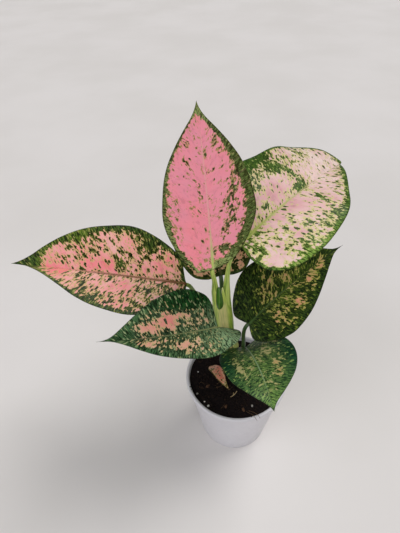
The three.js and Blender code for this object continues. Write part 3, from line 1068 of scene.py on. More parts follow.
@dataclass(frozen=True)
class LeafPattern:
    """How a blade is coloured from place to place."""

    bloom: float = 0.9
    blush: float = 0.5
    glow: float = 0.25
    margins: tuple[float, float] = (2.5, 2.5)  # the solid green along the left and the right edge
    fades: tuple[float, float] = (4.0, 4.0)  # and how much further in the pattern takes to open
    narrows: float = 0.0  # how much thinner both margins are by the tip
    tip: float = 0.9
    rib: tuple[float, float] = (1.3, 0.85)  # the midrib's half width at its foot, and where it fades
    patches: tuple[Patch, ...] = ()


@dataclass
class Leaf:
    """One leaf: a thin blade with a midrib and side veins, on a grooved petiole with a sheath."""

    name: str
    shape: BladeShape
    stalk: PetioleShape
    pattern: LeafPattern
    finish: LeafFinish
    slot: str
    rows: int = 130
    columns: int = 25
    thickness: float = 0.5
    edge_thickness: float = 0.2
    usual_length: float = 140.0  # the length of a blade with a rib of the usual size
    vein_length: float = 1.15  # how much longer a side vein is than the way straight across
    halves_apart: float = 400.0  # keeps the pattern of one half from that of the other
    rim_steps: int = 420

    def _half(self, side: int) -> dict[str, np.ndarray]:
        """Lays out one half of the blade.

        Args:
            side: 0 for the left and 1 for the right.

        Returns:
            Arrays of rows by columns, from the midrib to the margin.
        """
        share = np.linspace(0, 1, self.rows)
        edge = self.shape.outline(side, share)
        inside = np.clip(edge[:, 0], 0, 1)
        slanted = edge[:, 0] - self.shape.slant * np.sin(math.pi * inside) ** 0.7
        root = np.maximum(0, slanted)
        even = np.linspace(0, 1, self.columns)
        spread = 0.6 * even + 0.2 * (1 - np.cos(math.pi * even))
        half_width = self.shape.left if side == 0 else self.shape.right
        along = (root[:, None] + (edge[:, 0] - root)[:, None] * spread) * self.shape.length
        across = edge[:, 1:] * half_width * spread
        rim = self.shape.outline(side, np.linspace(0, 1, self.rim_steps)) * np.array([self.shape.length, half_width])
        flat = np.stack([along.ravel(), across.ravel()], 1)
        to_edge = np.min(np.linalg.norm(flat[:, None] - rim[None], axis=2), axis=1).reshape(along.shape)
        sign = 1 if side == 0 else -1
        lane = np.tile(slanted[:, None] * self.shape.length, (1, self.columns))
        return {
            "along": along, "across": sign * across, "share": np.tile(spread, (self.rows, 1)), "edge": to_edge,
            "lane": lane, "run": across * self.vein_length + (0 if side == 0 else self.halves_apart),
            "part": across / half_width * sign,
        }

    def _lift(self, half: dict[str, np.ndarray], top: bool) -> np.ndarray:
        """How far the upper or lower face stands off the blade's middle surface.

        Args:
            half: One half, as laid out.
            top: Whether it is the upper face.

        Returns:
            The lift of each point.
        """
        share, length = half["share"], self.shape.length
        place = np.clip(half["along"] / length, 0, 1)
        solid = self.edge_thickness + (self.thickness - self.edge_thickness) * smooth(0.0, 2.5, half["edge"])
        lift = (0.5 if top else -0.5) * solid
        size = length / self.usual_length
        rib = (0.5 + 1.7 * (1 - place)) * size
        across = np.abs(half["across"])
        if top:
            lift = lift - 0.35 * size * (1 - 0.5 * place) * np.exp(-((across / (0.6 * rib)) ** 2))
        else:
            lift = lift - (0.15 + 1.3 * (1 - place) ** 1.4) * size * np.exp(-((across / rib) ** 2))
        quilt = np.cos(2 * math.pi * half["lane"] / self.finish.vein_spacing)
        lift = lift + 0.1 * size * quilt * np.sqrt(np.clip(share * (1 - share) * 4, 0, 1))
        rise, count, start = self.shape.wave
        side = np.where(half["across"] < 0, 1.7, 0.0)
        return lift + rise * share**2.5 * np.sin(2 * math.pi * count * place + start + side) * smooth(0, 0.12, place)

    def _values(self, half: dict[str, np.ndarray], top: bool) -> dict[str, np.ndarray]:
        """The values that ride on one half's points.

        Args:
            half: One half, as laid out.
            top: Whether it is the upper face.

        Returns:
            One array for each value.
        """
        look = self.pattern
        place, part = half["along"] / self.shape.length, half["part"]
        bloom, blush, glow = (np.full(place.shape, value) for value in (look.bloom, look.blush, look.glow))
        for patch in look.patches:
            near = np.exp(-(((place - patch.along) / patch.reach) ** 2) - ((part - patch.across) / patch.spread) ** 2)
            bloom, blush, glow = bloom + near * patch.bloom, blush + near * patch.blush, glow + near * patch.glow
        waist = 0.4 + 0.6 * np.sin(math.pi * np.clip(place, 0.04, 0.96)) ** 0.7
        waist = waist * (1 - look.narrows * smooth(0.4, 0.85, place))
        solid = np.where(part >= 0, look.margins[0], look.margins[1]) * waist
        fade = np.where(part >= 0, look.fades[0], look.fades[1]) * waist
        band = smooth(0.0, 1.0, (half["edge"] - solid) / fade)
        bloom = np.clip(bloom, 0, 1) * band * (1 - 0.9 * smooth(look.tip - 0.05, look.tip + 0.04, place))
        width, fades = look.rib
        rib_width = width * (1 - 0.75 * np.clip(place, 0, 1)) * np.sqrt(self.shape.length / self.usual_length)
        rib = smooth(1.25, 0.75, np.abs(half["across"]) / rib_width) * (1 - smooth(fades - 0.3, fades, place))
        return {
            "vein": np.stack([half["lane"], half["run"], 0 * place], -1),
            "bloom": bloom, "blush": np.clip(blush, 0, 1), "glow": np.clip(glow, 0, 1),
            "rib": rib, "foot": 1 - smooth(0.05, 0.45, place), "rind": 0.5 * (1 - smooth(0.2, 1.0, half["edge"])),
            "under": np.full(place.shape, 0.0 if top else 1.0),
        }

    def build_blade(self, effects: Effects) -> bpy.types.Object:
        """Builds and dresses the blade.

        Args:
            effects: The shared shader groups.

        Returns:
            The piece.
        """
        halves = [self._half(side) for side in (0, 1)]
        strips: list[tuple[np.ndarray, dict[str, np.ndarray]]] = []
        for top in (True, False):
            laid = []
            for half in halves:
                points = self.shape.place(half["along"], half["across"], self._lift(half, top))
                laid.append((points, self._values(half, top)))
            (left_points, left_values), (right_points, right_values) = laid
            joined = np.concatenate([left_points[:, ::-1], right_points[:, 1:]], axis=1)
            values = {}
            for key, held in left_values.items():
                values[key] = np.concatenate([held[:, ::-1], right_values[key][:, 1:]], axis=1)
            strips.append((joined, values))
        (upper, upper_values), (lower, lower_values) = strips
        points = np.concatenate([upper, lower[:, ::-1]], axis=1)
        for row in (0, -1):
            points[row] = points[row].mean(axis=0)
        values = {key: np.concatenate([upper_values[key], lower_values[key][:, ::-1]], axis=1) for key in upper_values}
        piece = mesh_of(f"{self.name}_blade_skin", [Sheet(points, values, capped=False)], weld=2e-3)
        dress(piece, self.finish.material(f"{self.name}_blade", effects), [f"{self.name}_blade"])
        return piece

    def _petiole_path(self, bundle: Bundle) -> np.ndarray:
        """The petiole's middle, from its node to just under the midrib.

        Args:
            bundle: The line that the stems follow.

        Returns:
            Closely spaced points.
        """
        stalk, shape = self.stalk, self.shape
        count = max(1, round((stalk.leaves - stalk.node) / stalk.hug_step))
        heights = np.linspace(stalk.node, stalk.leaves, count + 1)
        points = [bundle.hugging(stalk.bearing, stalk.sheath, height) for height in heights]
        if stalk.pair is not Pair.NEITHER:
            aside = np.array([stalk.pair.value * stalk.aside, 0.0, 0.0])
            points += [bundle.at(height) + aside for height in stalk.abreast]
        points += [np.array(point, float) for point in stalk.via]
        drop = -(self.thickness / 2 + stalk.blade_gap + 0.8 * stalk.neck)
        ends = [(-3.0, drop - 1.5), (min(4.0, 0.04 * shape.length), drop), (0.13 * shape.length, drop + 0.9)]
        for along, lift in ends[1 if stalk.abrupt else 0 :]:
            points.append(shape.place(np.array([along]), np.array([0.0]), np.array([lift]))[0])
        length = sum(float(np.linalg.norm(b - a)) for a, b in zip(points, points[1:]))
        return path_through(points, max(24, round(length / 1.6)))

    def build_petiole(self, bundle: Bundle, material: bpy.types.Material) -> bpy.types.Object:
        """Builds and dresses the petiole, with its groove and the thin lips of its sheath.

        Args:
            bundle: The line that the stems follow.
            material: The stems' material.

        Returns:
            The piece.
        """
        stalk, sides = self.stalk, 32
        track = self._petiole_path(bundle)
        turn_out = math.radians(stalk.bearing)
        outward, across = carried_frames(track, np.array([math.cos(turn_out), math.sin(turn_out), 0.0]))
        run = np.concatenate([[0], np.cumsum(np.linalg.norm(np.diff(track, axis=0), axis=1))])
        share = run / run[-1]
        height = track[:, 2]
        marks, girths = zip(*stalk.girths(height[-1]))
        girth = np.interp(height, marks, girths)
        rooted = smooth(0, stalk.rooted, run)
        girth *= (0.62 + 0.38 * rooted) * (1 - 0.55 * smooth(run[-1] - stalk.tapered, run[-1], run))
        track = track - outward * (1.6 * (1 - rooted))[:, None]
        above, young_top = stalk.sheath_tops
        sheath_top = stalk.leaves + above if stalk.pair is Pair.NEITHER else young_top
        lips = smooth(stalk.node + 2, stalk.node + 12, height) * (1 - smooth(sheath_top - 14, sheath_top, height))
        turn = np.linspace(-math.pi, math.pi, sides, endpoint=False)
        groove = np.exp(-(((np.abs(turn) - math.pi) / 0.75) ** 2))
        lip = np.exp(-(((np.abs(turn) - stalk.lip_turn) / 0.2) ** 2))
        radius = girth[:, None] * (1 - stalk.groove * groove) + stalk.lip * lips[:, None] * lip
        points = track[:, None] + outward[:, None] * (radius * np.cos(turn))[..., None]
        points = points + across[:, None] * (radius * np.sin(turn))[..., None]
        over, up = np.tile(turn * 2.6, (len(track), 1)), np.tile(run[:, None], (1, sides))
        around = np.stack([over, up, np.full(radius.shape, stalk.bearing)], -1)
        old = (1 - smooth(4, 30, run))[:, None] * np.ones(sides)
        values = {"around": around, "lip": 0.8 * lips[:, None] * lip, "age": 0.5 * old * share[::-1][:, None]}
        piece = mesh_of(f"{self.name}_petiole_skin", [Sheet(points, values)])
        dress(piece, material, [f"{self.name}_petiole"])
        return piece


# ---- pot and soil ----


@dataclass
class Pot:
    """A tapered moulded pot with a rolled rim, a hollowed foot and drain holes."""

    height: float = 100.0
    base_radius: float = 41.0
    rim_radius: float = 58.0
    rim_depth: float = 6.0
    wall: float = 1.6
    floor: float = 3.0
    rim_step: float = 2.5  # how far the rim stands out over the wall
    recess: float = 1.2
    hub: tuple[float, float] = (12.3, 13.0)  # the flat middle of the underside, and where the hollow round it starts
    foot_ring: tuple[float, float] = (5.5, 4.6)  # where that hollow ends and the ring is flat, inside the base
    holes: int = 6
    hole_radius: float = 4.0
    hole_circle: float = 25.0
    drill: tuple[float, float] = (1.5, 12.0)  # the middle and the length of what cuts a hole
    crease: float = 40.0
    segments: int = 160

    def outside(self, height: float) -> float:
        """The wall's outer radius at a height."""
        flare = self.rim_radius - self.rim_step - self.base_radius
        return self.base_radius + flare * height / (self.height - self.rim_depth)

    def inside(self, height: float) -> float:
        """The wall's inner radius at a height."""
        return self.outside(height) - self.wall

    def _profile(self) -> list[tuple[float, float]]:
        """The section from the middle of the underside round to the middle of the floor, with soft corners.

        Returns:
            Radius and height of each point.
        """
        foot, top, rim = self.base_radius, self.height, self.rim_radius
        under = top - self.rim_depth
        inner, outer = self.foot_ring
        corners = [
            (self.hub[0], 0.0, 0.4), (self.hub[1], self.recess, 0.4),
            (foot - inner, self.recess, 0.5), (foot - outer, 0.0, 0.4),
            (foot + 0.1, 0.0, 1.0), (self.outside(under - 0.4), under - 0.4, 0.5), (rim, under + 0.5, 0.9),
            (rim, top, 1.7), (self.inside(top - 1), top, 1.6), (self.inside(self.floor), self.floor, 1.6),
        ]
        points = [(0.0, 0.0)]
        places = [np.array([0.0, 0.0]), *[np.array(corner[:2]) for corner in corners], np.array([0.0, self.floor])]
        for before, here, after, corner in zip(places, places[1:], places[2:], corners):
            enter = here + (before - here) * corner[2] / np.linalg.norm(before - here)
            leave = here + (after - here) * corner[2] / np.linalg.norm(after - here)
            for part in np.linspace(0, 1, 7):
                point = (1 - part) ** 2 * enter + 2 * part * (1 - part) * here + part**2 * leave
                points.append((float(point[0]), float(point[1])))
        return [*points, (0.0, self.floor)]

    def build(self, material: bpy.types.Material) -> bpy.types.Object:
        """Builds and dresses the pot.

        Args:
            material: Its plastic.

        Returns:
            The piece.
        """
        turn = turns(self.segments)
        profile = np.array(self._profile())
        rows = [np.stack([r * np.cos(turn), r * np.sin(turn), np.full_like(turn, z)], 1) for r, z in profile]
        piece = mesh_of("pot_shell", [Sheet(np.array(rows), capped=False)])
        cutter = stood("drain", bpy.data.meshes.new("drain"))
        work = bmesh.new()
        middle, depth = self.drill
        radius = self.hole_radius * MM
        for index in range(self.holes):
            angle = 2 * math.pi * index / self.holes
            place = Vector((self.hole_circle * math.cos(angle), self.hole_circle * math.sin(angle), middle)) * MM
            bmesh.ops.create_cone(
                work, cap_ends=True, segments=40, radius1=radius, radius2=radius, depth=depth * MM,
                matrix=Matrix.Translation(place),
            )
        work.to_mesh(cutter.data)
        work.free()
        cut = piece.modifiers.new("drain", "BOOLEAN")
        cut.operation, cut.object, cut.solver = "DIFFERENCE", cutter, "EXACT"
        shaped = bpy.data.meshes.new_from_object(piece.evaluated_get(bpy.context.evaluated_depsgraph_get()))
        piece.modifiers.clear()
        piece.data = shaped
        piece.data.shade_smooth()
        piece.data.set_sharp_from_angle(angle=math.radians(self.crease))
        bpy.data.objects.remove(cutter)
        dress(piece, material, ["pot"])
        return piece


@dataclass
class Soil:
    """Dark potting mix: an uneven bed, loose crumbs, perlite, bark, a twig and fine roots."""

    pot: Pot
    level: float = 94.5
    crown: float = 0.8
    unevenness: float = 1.0
    crumbs: int = 1000
    crumb_sizes: tuple[tuple[float, float], ...] = ((0.35, 1.05), (1.1, 2.1))  # of small and big ones, half across
    edge_room: float = 2.6
    seed: int = 11
    perlite: tuple[Chip, ...] = (
        (-45.5, -21, 1.3, 0.8, 10), (-33.5, -37, 1.3, 0.8, 50), (15, -38.5, 1.4, 0.7, 80), (-37.5, -31.5, 0.9, 0.8, 20),
        (36, 22, 1.2, 0.8, 35), (-20, 40, 1.3, 0.7, 65), (12, 42, 1, 0.8, 15), (-44, 8, 0.9, 0.8, 75),
    )
    bark: tuple[Chip, ...] = (
        (-33, -12, 2.4, 0.35, 30), (5, -42, 2.1, 0.3, 110), (-14, -38, 1.9, 0.4, 70), (30, 30, 2.6, 0.35, 20),
        (-30, 28, 2.3, 0.4, 140), (4, 36, 2.2, 0.35, 95),
    )
    spilt: tuple[tuple[float, float], ...] = ((196, 0.8), (200, 0.45), (283, 0.5))  # bearing and size, on the rim
    roots: int = 15
    root_reach: float = 46.0  # how far from the middle a root starts
    root_limit: float = 50.0  # and how far it may run
    root_step: tuple[float, float] = (1.2, 2.8)
    root_radius: tuple[float, float] = (0.12, 0.24)
    stray_radius: float = 0.28
    wall_gap: float = 0.2
    floor_gap: float = 0.3
    tilt: float = 12.0  # how far a lump may lean, in degrees
    strays: tuple[tuple[Point, ...], ...] = (
        ((8, -45, 0.3), (11, -48.8, 3.6), (13.5, -52, 6.3), (16.2, -55.8, 6.3), (18.2, -58.4, 4.6)),
        ((10.5, -44, 0.2), (14.5, -47.8, 3.8), (17.5, -51, 6.3), (20, -53.8, 6.3), (21.6, -56, 5.2)),
    )

    def surface(self, x: float, y: float) -> float:
        """The height of the soil at a place, bumps and all.

        Args:
            x: The place, across.
            y: The place, back.

        Returns:
            The height.
        """
        radius = math.hypot(x, y)
        flat = self.level + self.crown * (1 - (radius / self.pot.inside(self.level)) ** 2)
        broad = noise.fractal(Vector((x * 0.09, y * 0.09, 3.1)), 0.7, 2.0, 3)
        fine = noise.fractal(Vector((x * 0.45, y * 0.45, 8.2)), 0.6, 2.0, 4)
        return flat + self.unevenness * (0.7 * broad + 0.5 * fine)

    def build_bed(self, material: bpy.types.Material) -> bpy.types.Object:
        """Builds and dresses the body of the soil.

        Args:
            material: The mix.

        Returns:
            The piece.
        """
        turn = turns(180)
        edge = self.pot.inside(self.level) - 0.15
        floor = self.pot.floor + self.floor_gap
        rings = [(0.0, floor, False), (self.pot.inside(floor) - 1.6, floor, False)]
        rings += [(self.pot.inside(floor + 2) - self.floor_gap, floor + 2, False)]
        for height in np.linspace(20, self.level - 4, 6):
            rings.append((self.pot.inside(height) - self.wall_gap, height, False))
        rings += [(edge - 0.05, self.level - 1.5, False)]
        rings += [(radius, 0.0, True) for radius in np.linspace(edge, 0, 64)]
        rows = []
        for radius, height, open_top in rings:
            ring = []
            for angle in turn:
                x, y = radius * math.cos(angle), radius * math.sin(angle)
                ring.append((x, y, self.surface(x, y) if open_top else height))
            rows.append(ring)
        piece = mesh_of("soil_bed", [Sheet(np.array(rows), capped=False)])
        dress(piece, material, ["soil"])
        return piece

    def _lump(
        self, work: bmesh.types.BMesh, draw: random.Random, place: Vector, size: Vector,
        turn: float, rough: float, fine: int,
    ) -> None:
        """Adds one uneven lump.

        Args:
            work: The mesh to add to.
            draw: The random numbers.
            place: Its middle, in millimetres.
            size: Its three half sizes.
            turn: How it is turned, in degrees.
            rough: How uneven it is.
            fine: How finely it is divided.
        """
        made = bmesh.ops.create_icosphere(work, subdivisions=fine, radius=1.0)["verts"]
        shift = Vector((draw.uniform(-50, 50), draw.uniform(-50, 50), draw.uniform(-50, 50)))
        leans = [Matrix.Rotation(math.radians(draw.uniform(-self.tilt, self.tilt)), 3, axis) for axis in "XY"]
        spin = leans[0] @ leans[1] @ Matrix.Rotation(math.radians(turn), 3, "Z")
        for vertex in made:
            away = 1 + rough * noise.fractal(vertex.co * 1.7 + shift, 0.8, 2.0, 3)
            local = Vector((vertex.co.x * size.x, vertex.co.y * size.y, vertex.co.z * size.z)) * away
            vertex.co = (place + spin @ local) * MM

    def _finish(
        self, name: str, work: bmesh.types.BMesh, material: bpy.types.Material, nodes: list[str]
    ) -> bpy.types.Object:
        """Turns gathered lumps into one dressed piece.

        Args:
            name: The piece's name.
            work: The gathered mesh.
            material: What it is made of.
            nodes: The frame's nodes that it stands for.

        Returns:
            The piece.
        """
        mesh = bpy.data.meshes.new(name)
        for face in work.faces:
            face.smooth = True
        work.to_mesh(mesh)
        work.free()
        piece = stood(name, mesh)
        dress(piece, material, nodes)
        return piece

    def build_crumbs(self, material: bpy.types.Material) -> bpy.types.Object:
        """Builds and dresses the loose crumbs of the mix.

        Args:
            material: The mix.

        Returns:
            The piece.
        """
        draw = random.Random(self.seed)
        work = bmesh.new()
        edge = self.pot.inside(self.level) - self.edge_room
        for index in range(self.crumbs):
            radius, angle = edge * math.sqrt(draw.random()), draw.uniform(0, 2 * math.pi)
            big = index % 9 == 0
            size = draw.uniform(*self.crumb_sizes[1 if big else 0])
            x, y = radius * math.cos(angle), radius * math.sin(angle)
            half = Vector((size, size * draw.uniform(0.6, 1.0), size * draw.uniform(0.45, 0.85)))
            place = Vector((x, y, self.surface(x, y) + 0.25 * half.z))
            self._lump(work, draw, place, half, draw.uniform(0, 360), 0.35, 2 if big else 1)
        rim = self.pot.rim_radius - self.edge_room
        for bearing, size in self.spilt:
            angle = math.radians(bearing)
            place = Vector((rim * math.cos(angle), rim * math.sin(angle), self.pot.height + 0.35 * size))
            self._lump(work, draw, place, Vector((size, size, 0.7 * size)), 20, 0.3, 2)
        return self._finish("soil_crumbs", work, material, [])

    def build_perlite(self, material: bpy.types.Material) -> bpy.types.Object:
        """Builds and dresses the perlite grains.

        Args:
            material: Perlite.

        Returns:
            The piece.
        """
        draw = random.Random(self.seed + 1)
        work = bmesh.new()
        for x, y, size, flat, turn in self.perlite:
            half = Vector((size, size * 0.9, size * flat))
            self._lump(work, draw, Vector((x, y, self.surface(x, y) + 0.6 * half.z)), half, turn, 0.3, 3)
        nodes = [f"perlite_{index + 1}" for index in range(len(self.perlite))]
        return self._finish("perlite_grains", work, material, nodes)

    def build_bark(self, material: bpy.types.Material) -> bpy.types.Object:
        """Builds and dresses the bark chips.

        Args:
            material: Bark.

        Returns:
            The piece.
        """
        draw = random.Random(self.seed + 2)
        work = bmesh.new()
        for x, y, size, flat, turn in self.bark:
            place = Vector((x, y, self.surface(x, y) + 0.8 * size * flat))
            self._lump(work, draw, place, Vector((size * 1.1, size * 0.7, size * flat)), turn, 0.45, 3)
            layer = place + Vector((0.3, 0.2, 0.35 * size * flat))
            self._lump(work, draw, layer, Vector((size * 0.8, size * 0.5, size * flat)), turn + 9, 0.45, 3)
        nodes = [f"bark_chip_{index + 1}" for index in range(len(self.bark))]
        return self._finish("bark_chips", work, material, nodes)

    def _thread(self, places: list[Point], radius: float, sides: int, knobs: float) -> Sheet:
        """A thin thread that lies on the soil.

        Args:
            places: Across, back and height over the soil, for each point.
            radius: Its radius.
            sides: How many sides it has.
            knobs: How uneven it is.

        Returns:
            Its points.
        """
        lying = [np.array([x, y, self.surface(x, y) + radius + rise]) for x, y, rise in places]
        track = path_through(lying, 12 * len(places))
        first, second = carried_frames(track, np.array([0.0, 0.0, 1.0]))
        turn = turns(sides)[:, None]
        share = np.linspace(0, 1, len(track))
        girth = radius * (1 - 0.35 * share) * (1 + knobs * np.sin(share * 23 + places[0][0]))
        girth = girth * np.minimum(1, 0.35 + 12 * share) * np.minimum(1, 0.3 + 9 * (1 - share))
        spokes = first[:, None] * np.cos(turn) + second[:, None] * np.sin(turn)
        return Sheet(track[:, None] + girth[:, None, None] * spokes)

    def build_twig(self, material: bpy.types.Material) -> bpy.types.Object:
        """Builds and dresses the dry twig.

        Args:
            material: Dry wood.

        Returns:
            The piece.
        """
        main = self._thread([(-8.0, -27.3, 0.1), (-3.5, -24, 0.5), (0, -20, 0.3)], 0.55, 14, 0.08)
        stub = self._thread([(-4.2, -24.6, 0.5), (-4.6, -22.8, 0.9), (-4.4, -21.6, 1.0)], 0.3, 10, 0.1)
        piece = mesh_of("dry_twig", [main, stub])
        dress(piece, material, ["twig"])
        return piece

    def build_roots(self, material: bpy.types.Material) -> bpy.types.Object:
        """Builds and dresses the fine dry roots on the mix and over the front of the rim.

        Args:
            material: Dry root.

        Returns:
            The piece.
        """
        draw = random.Random(self.seed + 3)
        sheets = []
        for _ in range(self.roots):
            radius, angle = self.root_reach * math.sqrt(draw.random()), draw.uniform(0, 2 * math.pi)
            x, y = radius * math.cos(angle), radius * math.sin(angle)
            heading, places = draw.uniform(0, 2 * math.pi), []
            for _ in range(5):
                places.append((x, y, draw.uniform(0.0, 0.9)))
                heading += draw.uniform(-0.9, 0.9)
                step = draw.uniform(*self.root_step)
                x, y = x + step * math.cos(heading), y + step * math.sin(heading)
                far = max(1, math.hypot(x, y) / self.root_limit)
                x, y = x / far, y / far
            sheets.append(self._thread(places, draw.uniform(*self.root_radius), 8, 0.15))
        for places in self.strays:
            sheets.append(self._thread(list(places), self.stray_radius, 8, 0.15))
        piece = mesh_of("dry_roots", sheets, weld=1e-4)
        dress(piece, material, [])
        return piece


# ---- studio ----


@dataclass(frozen=True)
class Lamp:
    """One soft light, far off."""

    name: str
    towards: Point
    strength: float
    spread: float  # how wide it looks, in degrees
    colour: Point

    def hang(self) -> None:
        """Hangs the light."""
        lamp = bpy.data.lights.new(self.name, "SUN")
        lamp.energy, lamp.angle, lamp.color = self.strength, math.radians(self.spread), self.colour
        stood(self.name, lamp).rotation_euler = Vector(self.towards).to_track_quat("-Z", "Y").to_euler()


@dataclass
class Studio:
    """A plain pale floor, soft lights and the camera, in metres and degrees."""

    floor_half: float = 9.0
    floor_shades: tuple[Colour, Colour] = (srgb(219, 215, 212), srgb(225, 221, 219))
    key: Lamp = Lamp("key", (-0.5, -0.25, -1.0), 1.6, 34.0, (1.0, 0.985, 0.965))
    fill: Lamp = Lamp("fill", (0.45, 0.9, -0.8), 1.5, 80.0, (0.98, 0.985, 1.0))
    sky: Colour = (0.95, 0.96, 1.0, 1.0)
    sky_strength: float = 0.2
    eye: Point = (-0.0382, -0.2799, 0.5223)
    dip: float = 41.98
    lean: float = -1.64
    lens: float = 28.37

    def build_floor(self) -> None:
        """Builds the floor."""
        material, wire, surface = new_material("studio_floor")
        cloud = wire.cloud(wire.node("TexCoord").outputs["Object"], 3.0)
        wire.feed(surface.inputs["Base Color"], wire.mix(wire.rise(cloud, 0.3, 0.7), *self.floor_shades))
        surface.inputs["Roughness"].default_value = 0.8
        mesh = bpy.data.meshes.new("studio_floor")
        half = self.floor_half
        mesh.from_pydata([(-half, -half, 0), (half, -half, 0), (half, half, 0), (-half, half, 0)], [], [(0, 1, 2, 3)])
        mesh.materials.append(material)
        stood("studio_floor", mesh)

    def build_lights(self) -> None:
        """Hangs the lights and sets the world's own soft light."""
        self.key.hang()
        self.fill.hang()
        world = bpy.data.worlds.new("soft")
        world.use_nodes = True
        set_all_over(world.node_tree.nodes["Background"], {"Color": self.sky, "Strength": self.sky_strength})
        bpy.context.scene.world = world

    def build_camera(self) -> None:
        """Sets the camera."""
        down = math.radians(self.dip)
        rows = Matrix(((1, 0, 0), (0, -math.sin(down), -math.cos(down)), (0, math.cos(down), -math.sin(down))))
        rows = Matrix.Rotation(-math.radians(self.lean), 3, "Z").transposed() @ rows
        right, below, ahead = rows
        turn = Matrix((right, -below, -ahead)).transposed()
        data = bpy.data.cameras.new("view")
        data.sensor_width, data.lens, data.clip_start = 36.0, self.lens, 0.01
        camera = stood("view", data)
        camera.matrix_world = Matrix.Translation(self.eye) @ turn.to_4x4()
        bpy.context.scene.camera = camera

    def build(self) -> None:
        """Builds everything round the plant."""
        self.build_floor()
        self.build_lights()
        self.build_camera()
        bpy.context.scene.view_settings.view_transform = "Standard"


# ---- the plant ----


